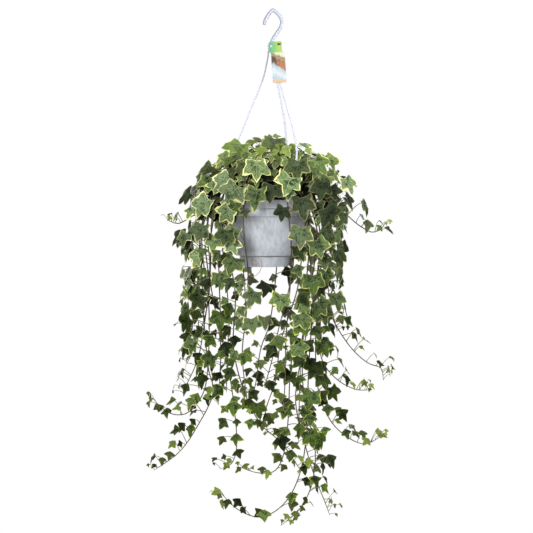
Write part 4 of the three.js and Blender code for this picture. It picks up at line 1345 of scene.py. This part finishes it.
def blade_sheet(name, corners):
    """A flat blade of unit length: a fan with a ring round it, and the same for its underside."""
    bm = bmesh.new()
    out = bm.verts.layers.float.new("out")
    uv = bm.loops.layers.uv.new("blade")
    ring = [bm.verts.new((x * INNER_RING, y * INNER_RING, 0)) for x, y in blade_outline(corners)]
    fan = bm.faces.new(ring)
    middle = bmesh.ops.poke(bm, faces=[fan])["verts"][0]
    middle.co = (0, 0, 0.5)
    edges = [edge for edge in bm.edges if edge.is_boundary]
    made = bmesh.ops.extrude_edge_only(bm, edges=edges)
    rim = only(bmesh.types.BMVert, made)
    bmesh.ops.scale(bm, vec=(1 / INNER_RING, 1 / INNER_RING, 1), verts=rim)
    for vert in ring:
        vert.co.z = 0.5 * (1 - INNER_RING)
        vert[out] = INNER_RING
    for vert in rim:
        vert[out] = 1
    bmesh.ops.recalc_face_normals(bm, faces=bm.faces)
    if sum(face.normal.z for face in bm.faces) < 0:
        bmesh.ops.reverse_faces(bm, faces=bm.faces)
    copied = bmesh.ops.duplicate(bm, geom=bm.verts[:] + bm.edges[:] + bm.faces[:])
    under = only(bmesh.types.BMFace, copied)
    bmesh.ops.scale(bm, vec=(1, 1, -1), verts=only(bmesh.types.BMVert, copied))
    bmesh.ops.reverse_faces(bm, faces=under)
    for face in under:
        face.material_index = UNDERSIDE
    bmesh.ops.remove_doubles(bm, verts=bm.verts, dist=1e-4)
    for face in bm.faces:
        for loop in face.loops:
            loop[uv].uv = (0.5 + loop.vert.co.x / 2, 0.5 + loop.vert.co.y / 2)
    for edge in bm.edges:
        edge.smooth = edge.verts[0][out] < 1 or edge.verts[1][out] < 1
    sheet = bpy.data.meshes.new(name)
    bm.to_mesh(sheet)
    bm.free()
    return sheet


STEM_SIDES = 7
PETIOLE_SIDES = 5
PETIOLE_STEPS = 5
FINE_STEP = 7
FINE_THICK = 1.2
FINE_THIN = 0.8

# Blades wave and are uneven by up to this much.
WAVE = 0.09
UNEVEN = 0.07

# Leaves are brighter and younger over these heights, greyer over those, and brighter again beside
# and under the pot. Large ones are seldom young.
CROWN_LIT = (-262, -217)
GREYER = (-560, -390)
BESIDE_POT = (-330, -290)
UNDER_POT = (-490, -420)
LARGE_BLADES = (17, 27)
LOOKS_SEED = 3301


def share_between(value, low, high):
    return min(1.0, max(0.0, (value - low) / (high - low)))


class LeafyStem:
    """One stem's mesh: the smooth stem, and a petiole and a shaped blade for each leaf."""

    def __init__(self, stem, sheets, looks):
        self.stem = stem
        self.sheets = sheets
        self.looks = looks
        self.bm = bmesh.new()
        layers = self.bm.verts.layers.float
        self.layers = {name: layers.new(name) for name in ("out", "seed", "grey", "young", "tone")}
        self.bm.loops.layers.uv.new("blade")
        self.add_stem()
        for leaf in stem.leaves:
            self.add_leaf(leaf)

    def paint(self, verts, **values):
        for vert in verts:
            for name, value in values.items():
                vert[self.layers[name]] = value

    def add_stem(self):
        line = smooth_line(self.stem.knots, FINE_STEP)[0]
        hanging = self.stem.node.startswith("trailing")

        def radius(share):
            return FINE_THICK + (FINE_THIN - FINE_THICK) * share - max(0.0, share - 0.96) * 12

        def age(ring, share):
            self.paint(ring, young=max(0.0, share - 0.7) * 2.2 if hanging else 0.35, tone=1.0)

        sweep(self.bm, polygon(STEM_SIDES), line, outward(line[1]), radius, age, BARK_INDEX)

    def add_leaf(self, leaf):
        """A petiole that arches from the stem to the blade, and the blade."""
        root = self.stem.curve_at(leaf.stretch, leaf.share)
        reach = leaf.joint - root
        length = np.linalg.norm(reach)
        leave = root + reach * 0.35 + UP * length * 0.10
        arrive = leaf.joint - leaf.along * length * 0.16 - leaf.face * length * 0.16
        line = []
        for i in range(PETIOLE_STEPS + 1):
            t = i / PETIOLE_STEPS
            point = root * (1 - t) ** 3 + leave * 3 * t * (1 - t) ** 2
            line.append(point + arrive * 3 * t * t * (1 - t) + leaf.joint * t ** 3)
        thin = min(1.0, leaf.size / SMALL_BLADE)

        def radius(share):
            return (PETIOLE_ROOT + (PETIOLE_TIP - PETIOLE_ROOT) * share) * (0.5 + 0.5 * thin)

        def age(ring, share):
            self.paint(ring, young=0.65 + 0.3 * share, tone=1.0)

        sweep(self.bm, polygon(PETIOLE_SIDES), line, leaf.sideways, radius, age, BARK_INDEX)
        self.add_blade(leaf)

    def add_blade(self, leaf):
        """A flat blade, made uneven, folded along its midrib, bent and waved, with its looks."""
        bm = self.bm
        start = len(bm.verts)
        bm.from_mesh(self.sheets[leaf.lobes is five_lobes])
        bm.verts.ensure_lookup_table()
        verts = bm.verts[start:]
        looks = self.looks
        wave = [looks.between(-WAVE, WAVE) for _ in range(3)]
        turn = looks.between(0, 2 * math.pi)
        uneven = [looks.between(-UNEVEN, UNEVEN) for _ in range(3)]
        for vert in verts:
            u, v, thick = vert.co
            angle = math.atan2(u, v)
            stretch = 1 + uneven[0] * math.cos(angle + turn)
            stretch += uneven[1] * math.sin(2 * angle + turn)
            stretch += uneven[2] * math.cos(3 * angle)
            u, v = u * stretch, v * stretch
            reach = u * u + v * v
            height = leaf.fold * abs(u) - leaf.bend * reach
            height += reach * (wave[0] * math.sin(angle) + wave[1] * math.sin(3 * angle + turn))
            height += reach * wave[2] * math.cos(5 * angle + turn)
            place = leaf.joint + leaf.sideways * (u * leaf.size * leaf.breadth)
            place = place + leaf.along * (v * leaf.size)
            place = place + leaf.face * (height * leaf.size + thick * BLADE_THICKNESS)
            vert.co = place
        height = leaf.joint[2]
        high = share_between(height, *CROWN_LIT)
        grey = 0.62 * share_between(height, *GREYER) - 0.4 * high + looks.between(-0.35, 0.3)
        young = max(leaf.young, high * looks.between(-0.4, 0.8))
        young *= 1 - 0.7 * share_between(leaf.size, *LARGE_BLADES)
        beside_pot = share_between(height, *UNDER_POT) * (1 - share_between(height, *BESIDE_POT))
        seed = looks.between(0, 1)
        # A leaf's tone varies at random, and leaf.tone adds the painted shade of the crown's inner
        # layers.
        tone = (0.16 + 0.4 * high + 1.3 * looks.between(0, 1) ** 1.2) * leaf.tone
        self.paint(
            verts,
            seed=seed,
            grey=share_between(grey, 0, 1),
            young=share_between(young, 0, 1),
            tone=tone * (1 + 0.22 * beside_pot),
        )


def build_leafy_stems(plant, finishes):
    sheets = {
        True: blade_sheet("five_lobed_blade", FIVE_LOBES),
        False: blade_sheet("three_lobed_blade", THREE_LOBES),
    }
    looks = Draws(LOOKS_SEED)
    for stem in plant.stems:
        leafy = LeafyStem(stem, sheets, looks)
        new_piece("ivy_" + stem.node, leafy.bm, finishes, [stem.node], sharp=0)
    for sheet in sheets.values():
        bpy.data.meshes.remove(sheet)


POT_SEGMENTS = 96
HUB_SEGMENTS = 40
PEG_SEGMENTS = 20
HOLE_SEGMENTS = 24


def spin_shell(bm, profile, segments=POT_SEGMENTS, centre=(POT_X, 0, 0)):
    """A profile of radius and height pairs, from the axis round to the axis, spun about it."""
    verts = [bm.verts.new((centre[0] + radius, centre[1], centre[2] + z)) for radius, z in profile]
    edges = [bm.edges.new(pair) for pair in zip(verts, verts[1:])]
    bmesh.ops.spin(
        bm, geom=verts + edges, cent=centre, axis=(0, 0, 1), angle=2 * math.pi,
        steps=segments, use_merge=True,
    )
    bmesh.ops.remove_doubles(bm, verts=bm.verts, dist=1e-3)
    bmesh.ops.recalc_face_normals(bm, faces=bm.faces)


def soften(bm, offset, angle=28, segments=2):
    """Bevels the edges that are sharper than an angle."""
    sharp = [
        edge for edge in bm.edges
        if len(edge.link_faces) == 2 and edge.calc_face_angle() > math.radians(angle)
    ]
    bmesh.ops.bevel(
        bm, geom=sharp, offset=offset, segments=segments, affect="EDGES", profile=0.5,
        clamp_overlap=True, material=-1,
    )


def cut_holes(piece, bm):
    """Takes the solids of a mesh, in millimetres, out of a piece."""
    bmesh.ops.scale(bm, vec=(MM, MM, MM), verts=bm.verts)
    mesh = bpy.data.meshes.new("holes")
    bm.to_mesh(mesh)
    bm.free()
    cutter = bpy.data.objects.new("holes", mesh)
    bpy.context.scene.collection.objects.link(cutter)
    difference = piece.modifiers.new("holes", "BOOLEAN")
    difference.operation = "DIFFERENCE"
    difference.solver = "EXACT"
    difference.object = cutter
    seen = bpy.context.evaluated_depsgraph_get()
    cut = bpy.data.meshes.new_from_object(piece.evaluated_get(seen))
    piece.modifiers.clear()
    piece.data = cut
    bpy.data.objects.remove(cutter)


DRAIN_HOLES = 4
DRAIN_RADIUS = 4
DRAIN_CIRCLE = 22


def build_pot(finish):
    bm = bmesh.new()
    spin_shell(bm, [
        (0, SPIGOT_FOOT),
        (SPIGOT_RADIUS, SPIGOT_FOOT),
        (SPIGOT_RADIUS, BODY_FOOT - 1.5),
        (BODY_FOOT_RADIUS - 1.2, BODY_FOOT - 1),
        (BODY_FOOT_RADIUS, BODY_FOOT + 0.4),
        (BODY_FOOT_RADIUS + 11.6, (BODY_FOOT + SHOULDER) / 2),
        (SHOULDER_RADIUS - 0.3, SHOULDER),
        (SHOULDER_RADIUS + 1.3, SHOULDER + 0.8),
        (SHOULDER_RADIUS + 1.7, SHOULDER + 2),
        (RIM_RADIUS - 2, RIM_TOP - 15.2),
        (RIM_RADIUS - 2.3, RIM_TOP - 14.4),
        (RIM_RADIUS - 2.1, RIM_TOP - 13.6),
        (RIM_RADIUS - 0.7, RIM_TOP - 13),
        (RIM_RADIUS - 0.4, RIM_TOP - 3.2),
        (RIM_RADIUS, RIM_TOP - 2.6),
        (RIM_RADIUS, RIM_TOP - 0.8),
        (RIM_RADIUS - 0.8, RIM_TOP),
        (RIM_RADIUS - WALL - 0.6, RIM_TOP),
        (RIM_RADIUS - WALL - 1, RIM_TOP - 1),
        (RIM_RADIUS - WALL - 2, RIM_TOP - 14),
        (SHOULDER_RADIUS - WALL, SHOULDER),
        (BODY_FOOT_RADIUS - WALL, BODY_FOOT + 1),
        (SPIGOT_RADIUS - WALL, BODY_FOOT + 0.5),
        (SPIGOT_RADIUS - WALL, SPIGOT_FOOT + WALL),
        (0, SPIGOT_FOOT + WALL),
    ])
    soften(bm, 0.35)
    pot = new_piece("pot_shell", bm, [finish], ["pot"])
    holes = bmesh.new()
    for i in range(DRAIN_HOLES):
        angle = (i + 0.5) * 2 * math.pi / DRAIN_HOLES
        middle = turned(angle, DRAIN_CIRCLE, SPIGOT_FOOT + WALL / 2)
        bmesh.ops.create_cone(
            holes, cap_ends=True, segments=HOLE_SEGMENTS, radius1=DRAIN_RADIUS,
            radius2=DRAIN_RADIUS, depth=3 * WALL, matrix=Matrix.Translation(middle),
        )
    cut_holes(pot, holes)


def build_saucer(finish):
    top = BODY_FOOT - 2
    inner = SPIGOT_RADIUS + GAP
    bm = bmesh.new()
    spin_shell(bm, [
        (0, SAUCER_FOOT + 1),
        (SAUCER_FOOT_RADIUS - 5, SAUCER_FOOT + 1),
        (SAUCER_FOOT_RADIUS - 4.2, SAUCER_FOOT),
        (SAUCER_FOOT_RADIUS - 1, SAUCER_FOOT),
        (SAUCER_FOOT_RADIUS, SAUCER_FOOT + 1.2),
        (SAUCER_RADIUS - 0.5, top - 3),
        (SAUCER_RADIUS, top - 2.4),
        (SAUCER_RADIUS, top - 0.6),
        (SAUCER_RADIUS - 0.6, top),
        (inner, top),
        (inner, top - 6),
        (SAUCER_FOOT_RADIUS - WALL, SAUCER_FOOT + 1 + SAUCER_FLOOR),
        (0, SAUCER_FOOT + 1 + SAUCER_FLOOR),
    ])
    soften(bm, 0.3)
    new_piece("saucer_shell", bm, [finish], ["drip_saucer"])


SOIL_RINGS = 22
CRUMBS = 320
CRUMB_SEED = 511
CRUMB_SIZES = (1.0, 2.6)
CRUMB_BREADTHS = (0.5, 0.9)
CRUMB_HEIGHTS = (0.4, 0.7)

# The soil's materials by index
SOIL, BARK_CHIP, PERLITE = 0, 1, 2


def soil_height(x, y):
    """The height of the rough soil at a place."""
    rough = noise.fractal(Vector((x, y, 4.0)) * 0.055, 0.8, 2.0, 5)
    return SOIL_TOP - 0.6 + max(-2.2, min(1.6, 2.4 * rough))


def build_soil(finishes):
    """Soil in the shape of the pot's inside, with loose crumbs, bark and perlite on top."""
    edge = RIM_RADIUS - WALL - 3.2
    profile = [
        (0, SPIGOT_FOOT + WALL + GAP),
        (SPIGOT_RADIUS - WALL - GAP, SPIGOT_FOOT + WALL + GAP),
        (SPIGOT_RADIUS - WALL - GAP, BODY_FOOT + 1 + GAP),
        (BODY_FOOT_RADIUS - WALL - 2 * GAP, BODY_FOOT + 1.5 + GAP),
        (SHOULDER_RADIUS - WALL - 2 * GAP, SHOULDER),
        (edge, SOIL_TOP - 2.5),
    ]
    profile += [(edge * (1 - i / SOIL_RINGS), SOIL_TOP) for i in range(1, SOIL_RINGS + 1)]
    bm = bmesh.new()
    spin_shell(bm, profile)
    for vert in bm.verts:
        if vert.co.z > SOIL_TOP - 1:
            vert.co.z = soil_height(vert.co.x, vert.co.y)
    draws = Draws(CRUMB_SEED)
    for i in range(CRUMBS):
        angle, share = draws.between(0, 2 * math.pi), math.sqrt(draws.between(0, 0.96))
        x, y, _ = turned(angle, share * edge, 0)
        size = draws.between(*CRUMB_SIZES)
        place = Matrix.Translation((x, y, soil_height(x, y) + size * 0.15))
        turn = Matrix.Rotation(draws.between(0, math.pi), 4, "Z")
        breadth = size * draws.between(*CRUMB_BREADTHS)
        flat = Matrix.Diagonal((size, breadth, size * draws.between(*CRUMB_HEIGHTS), 1))
        made = bmesh.ops.create_icosphere(bm, subdivisions=1, radius=1, matrix=place @ turn @ flat)
        kind = PERLITE if i % 9 == 0 else BARK_CHIP if i % 3 == 0 else SOIL
        for face in {face for vert in made["verts"] for face in vert.link_faces}:
            face.material_index = kind
    new_piece("potting_soil", bm, finishes, ["soil"], sharp=60)


HOOK_FLANGE = 1.5
HOOK_WEB = 2.6
HOOK_SLOPE = 0.4
HOOK_STEP = 3
HOOK_TIP = 0.7
PEG_HEAD = 1.9


def flanged_section():
    """The section of the hook's bar: two flanges joined by a thinner web."""
    d, w, t = HOOK_DEPTH / 2, HOOK_WIDTH / 2, HOOK_WEB / 2
    flange, slope = HOOK_FLANGE, HOOK_SLOPE
    right = [
        (d, -w), (d, flange - w), (t, flange + slope - w), (t, w - flange - slope),
        (d, w - flange), (d, w),
    ]
    return right + [(-u, -v) for u, v in right]


def hanger_mesh():
    """An empty mesh, with a layer for painted shade along its edges."""
    bm = bmesh.new()
    bm.verts.layers.float.new("edge")
    return bm


def build_hook(finish):
    """The hook's flanged bar, the hub that its foot grows from, and the peg for the label."""
    bm = hanger_mesh()
    line = smooth_line([vector(x, 0, z) for x, z in HOOK_ROUTE], HOOK_STEP)[0]
    section = flanged_section()
    flange = [abs(v) > HOOK_WIDTH / 2 - HOOK_FLANGE - 0.1 for _, v in section]
    layer = bm.verts.layers.float["edge"]

    def shade(ring, share):
        """Paints shade on the flanges, most on the left and near the tip."""
        middle = sum(vert.co.x for vert in ring) / len(ring)
        fading = 0.15 * min(1.0, share * 3)
        for vert, dark in zip(ring, flange):
            left = (middle - vert.co.x) / (HOOK_WIDTH / 2)
            vert[layer] = min(1.0, 0.65 + 0.5 * left - fading) if dark else 0.0

    sweep(bm, section, line, vector(0, 1, 0), lambda share: min(1.0, HOOK_TIP + 10 * share), shade)
    soften(bm, 0.3, 35)
    hub = hanger_mesh()
    spin_shell(hub, [
        (0, HUB_FOOT), (HUB_RADIUS - 1.6, HUB_FOOT), (HUB_RADIUS - 0.6, HUB_FOOT + 0.8),
        (HUB_RADIUS - 0.6, HUB_FOOT + 3), (HUB_RADIUS, HUB_FOOT + 3.4),
        (HUB_RADIUS, HUB_TOP - 3.4), (HUB_RADIUS - 0.6, HUB_TOP - 3),
        (HUB_RADIUS - 0.6, HUB_TOP - 0.9), (HUB_RADIUS - 1.6, HUB_TOP), (0, HUB_TOP),
    ], HUB_SEGMENTS, (HUB_X, 0, 0))
    join(bm, hub)
    peg = hanger_mesh()
    spin_shell(peg, [
        (0, 0), (PEG_RADIUS, 0), (PEG_RADIUS, PEG_REACH - 2.2), (PEG_HEAD, PEG_REACH - 1.7),
        (PEG_HEAD * 0.8, PEG_REACH - 0.6), (PEG_HEAD * 0.4, PEG_REACH), (0, PEG_REACH),
    ], PEG_SEGMENTS, (0, 0, 0))
    place = Matrix.Translation(PEG_AT) @ Matrix.Rotation(math.pi / 2, 4, "X")
    bmesh.ops.transform(peg, matrix=place, verts=peg.verts)
    join(bm, peg)
    new_piece("hook_and_hub", bm, [finish], ["hanger_hook"])


def join(bm, other):
    """Adds another mesh to this one."""
    mesh = bpy.data.meshes.new("part")
    other.to_mesh(mesh)
    other.free()
    bm.from_mesh(mesh)
    bpy.data.meshes.remove(mesh)


STRAP_STEP = 8

# A strap widens by this much over its last stretch.
STRAP_FOOT = 1.25
STRAP_FOOT_FROM = 0.93
# Painted light: each strap's plastic is brightened by its own amount, most for the back strap,
# which the lamps light least.
STRAP_PAINTED_LIGHT = {"left": 1.05, "front": 1.08, "back": 1.32}


def strap_section():
    """A flat bar with a shallow channel along its outer side."""
    w, d = STRAP_WIDTH / 2, STRAP_DEPTH / 2
    right = [(w, -d + 0.5), (w, d - 0.5), (w - 0.5, d), (w - 0.9, d), (w - 1.1, d - 0.25)]
    return right + [(-u, v) for u, v in right[::-1]] + [(-w + 0.5, -d), (w - 0.5, -d)]


def build_strap(name, degrees, route, finish):
    """A strap with a channel along it, and the clip that sits over the pot's rim."""
    angle = math.radians(degrees)
    radial = Vector((math.cos(angle), math.sin(angle), 0))
    tangent = Vector((-math.sin(angle), math.cos(angle), 0))
    bm = hanger_mesh()
    layer = bm.verts.layers.float["edge"]

    # Painted shade: the left strap is darker near the hub, fading out about a third of the way
    # down.
    def shade(ring, share):
        for vert in ring:
            vert[layer] = 0.7 * max(0.0, 1 - share * 3.2) if name == "left" else 0.0

    def widen(share):
        return 1 + (STRAP_FOOT - 1) * max(0.0, share - STRAP_FOOT_FROM) / (1 - STRAP_FOOT_FROM)

    line = strap_line(route, angle, STRAP_STEP)
    sweep(bm, strap_section(), line, np.array(tangent), widen, shade)
    inside, outside = RIM_RADIUS - WALL - 2 - GAP, RIM_RADIUS + GAP
    top, foot = RIM_TOP + GAP, RIM_TOP - CLIP_DROP
    outline = [
        (outside, foot), (outside + CLIP_WALL - 0.8, foot), (outside + CLIP_WALL, foot + 1.6),
        (outside + CLIP_WALL, top + CLIP_WALL), (inside - CLIP_WALL, top + CLIP_WALL),
        (inside - CLIP_WALL, foot + 3), (inside, foot + 3), (inside, top), (outside, top),
    ]
    clip = hanger_mesh()
    start = Vector((POT_X, 0, 0)) - tangent * CLIP_WIDTH / 2
    corners = [clip.verts.new(start + radial * r + Vector((0, 0, z))) for r, z in outline]
    face = clip.faces.new(corners)
    made = bmesh.ops.extrude_face_region(clip, geom=[face])
    bmesh.ops.translate(clip, vec=tangent * CLIP_WIDTH, verts=only(bmesh.types.BMVert, made))
    bmesh.ops.recalc_face_normals(clip, faces=clip.faces)
    soften(clip, 0.5, 35)
    join(bm, clip)
    new_piece("strap_" + name, bm, [finish], ["hanger_strap_" + name])


CORNER_STEPS = 5


def rounded(outline, radius):
    """The corners of an outline, each replaced by a small curve."""
    points = [Vector(point) for point in outline]
    curve = []
    for before, corner, after in zip(points[-1:] + points[:-1], points, points[1:] + points[:1]):
        reach = min(radius, (before - corner).length * 0.45, (after - corner).length * 0.45)
        start = corner + (before - corner).normalized() * reach
        end = corner + (after - corner).normalized() * reach
        for i in range(CORNER_STEPS + 1):
            t = i / CORNER_STEPS
            curve.append(start * (1 - t) ** 2 + corner * 2 * t * (1 - t) + end * t * t)
    return curve


def build_label(finish):
    """A hang tag with rounded corners and a hole for the peg, in plain bands of colour."""
    bm = bmesh.new()
    outline = rounded(LABEL_OUTLINE, LABEL_CORNER)
    sheet = bm.faces.new([bm.verts.new((*point, 0)) for point in outline])
    made = bmesh.ops.extrude_face_region(bm, geom=[sheet])
    bmesh.ops.translate(bm, vec=(0, 0, LABEL_THICKNESS), verts=only(bmesh.types.BMVert, made))
    bmesh.ops.recalc_face_normals(bm, faces=bm.faces)
    soften(bm, 0.12, 60, 1)
    uv = bm.loops.layers.uv.new("print")
    for face in bm.faces:
        for loop in face.loops:
            x, y, _ = loop.vert.co
            loop[uv].uv = ((x - PRINT_LEFT) / PRINT_WIDTH, (y - PRINT_FOOT) / PRINT_HEIGHT)
    place = Matrix.Translation(PEG_AT - Vector((0, LABEL_OUT, 0)))
    place = place @ Matrix.Rotation(-LABEL_LEAN, 4, "X") @ Matrix.Rotation(LABEL_TURN, 4, "Y")
    place = place @ Matrix.Rotation(math.pi / 2, 4, "X")
    bmesh.ops.transform(bm, matrix=place, verts=bm.verts)
    tag = new_piece("hang_tag", bm, [finish], ["plant_label"])
    hole = bmesh.new()
    radius = PEG_RADIUS + 2 * GAP
    bmesh.ops.create_cone(
        hole, cap_ends=True, segments=HOLE_SEGMENTS, radius1=radius, radius2=radius, depth=6,
        matrix=place,
    )
    cut_holes(tag, hole)


def build_tendril(finish):
    bm = bmesh.new()
    line = smooth_line([vector(*point) for point in TENDRIL], TENDRIL_STEP)[0]

    def radius(share):
        return TENDRIL_ROOT - (TENDRIL_ROOT - TENDRIL_TIP) * share

    sweep(bm, polygon(TENDRIL_SIDES), line, FRONT, radius)
    new_piece("tendril", bm, [finish])


# The camera looks level from the height of the pot's rim, and shifts down to frame the plant. The
# picture shows 1.6 mm a pixel, and the origin lies at this pixel.
CAMERA_DISTANCE = 2.5
CAMERA_HEIGHT = -0.29
PIXELS = 533
PIXEL_SIZE = 1.6
ORIGIN_PIXEL = (273, 12)
PICTURE_WIDTH = PIXELS * PIXEL_SIZE * MM
PICTURE_X = (PIXELS / 2 - ORIGIN_PIXEL[0]) * PIXEL_SIZE * MM
PICTURE_Z = (ORIGIN_PIXEL[1] - PIXELS / 2) * PIXEL_SIZE * MM
SENSOR = 36.0


def build_camera():
    camera = bpy.data.cameras.new("camera")
    camera.sensor_width = SENSOR
    camera.lens = SENSOR * CAMERA_DISTANCE / PICTURE_WIDTH
    camera.shift_y = (PICTURE_Z - CAMERA_HEIGHT) / PICTURE_WIDTH
    viewer = bpy.data.objects.new("camera", camera)
    viewer.location = (PICTURE_X, -CAMERA_DISTANCE, CAMERA_HEIGHT)
    viewer.rotation_euler = (math.pi / 2, 0, 0)
    bpy.context.scene.collection.objects.link(viewer)
    bpy.context.scene.camera = viewer


# Soft round lights: their names, places, sizes and watts. They all face the middle of the plant.
LIT_MIDDLE = Vector((-0.01, 0, -0.4))
LIGHTS = [
    ("key", (-0.9, -2.5, 0.35), 1.0, 92),
    ("fill", (1.9, -1.6, 0.0), 1.2, 44),
    ("top", (0.2, 0.2, 2.0), 1.6, 62),
    ("back", (0.7, 2.3, 0.7), 1.4, 70),
    ("side", (-1.3, 2.1, -0.1), 1.2, 30),
]


def build_light(name, place, size, watts):
    lamp = bpy.data.lights.new(name, "AREA")
    lamp.shape = "DISK"
    lamp.size = size
    lamp.energy = watts
    holder = bpy.data.objects.new(name, lamp)
    holder.location = place
    holder.rotation_euler = (LIT_MIDDLE - Vector(place)).to_track_quat("-Z", "Y").to_euler()
    bpy.context.scene.collection.objects.link(holder)


FLOOR = -1.5
FLOOR_RADIUS = 1.3
FLOOR_WHITE = (0.93, 0.93, 0.93)
WORLD_LIGHT = 0.05


def build_world():
    """A white studio all round, which gives the plant less light than it shows to the camera."""
    world = bpy.data.worlds.new("studio")
    world.use_nodes = True
    tree = world.node_tree
    background = tree.nodes["Background"]
    background.inputs["Color"].default_value = (1, 1, 1, 1)
    path = tree.nodes.new("ShaderNodeLightPath")
    strength = tree.nodes.new("ShaderNodeMapRange")
    strength.inputs["To Min"].default_value = WORLD_LIGHT
    strength.inputs["To Max"].default_value = 1.0
    tree.links.new(path.outputs["Is Camera Ray"], strength.inputs["Value"])
    tree.links.new(strength.outputs["Result"], background.inputs["Strength"])
    bpy.context.scene.world = world


def build_floor():
    bm = bmesh.new()
    bmesh.ops.create_circle(bm, cap_ends=True, segments=64, radius=FLOOR_RADIUS)
    bmesh.ops.translate(bm, vec=(0, 0, FLOOR), verts=bm.verts)
    mesh = bpy.data.meshes.new("studio_floor")
    bm.to_mesh(mesh)
    bm.free()
    finish = Finish("studio_floor", Roughness=0.9)
    finish.set("Base Color", FLOOR_WHITE)
    mesh.materials.append(finish.material)
    floor = bpy.data.objects.new("studio_floor", mesh)
    bpy.context.scene.collection.objects.link(floor)
    floor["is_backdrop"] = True


plant = Plant()
Fullness(plant)
build_leafy_stems(plant, [leaf_finish(), underside_finish(), stem_finish()])
build_pot(pot_finish("pot_plastic", 1.0))
build_saucer(pot_finish("saucer_plastic", 0.96))
build_soil([
    soil_finish("soil_crumbs", (0.010, 0.007, 0.005), (0.050, 0.032, 0.020)),
    soil_finish("bark_chips", (0.040, 0.022, 0.012), (0.130, 0.080, 0.045)),
    soil_finish("perlite", (0.45, 0.43, 0.39), (0.75, 0.74, 0.70), 0.9),
])
build_hook(hanger_finish("hanger_plastic", 1.1))
for name, degrees, route in STRAPS:
    build_strap(name, degrees, route, hanger_finish("strap_plastic_" + name, STRAP_PAINTED_LIGHT[name]))
build_label(label_finish())
build_tendril(tendril_finish())
build_camera()
build_floor()
build_world()
for name, place, size, watts in LIGHTS:
    build_light(name, place, size, watts)
bpy.context.scene.view_settings.view_transform = "Standard"

boxes = {"model": model_box, "visual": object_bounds()}
{name: [list(corner) for corner in box] for name, box in boxes.items()}
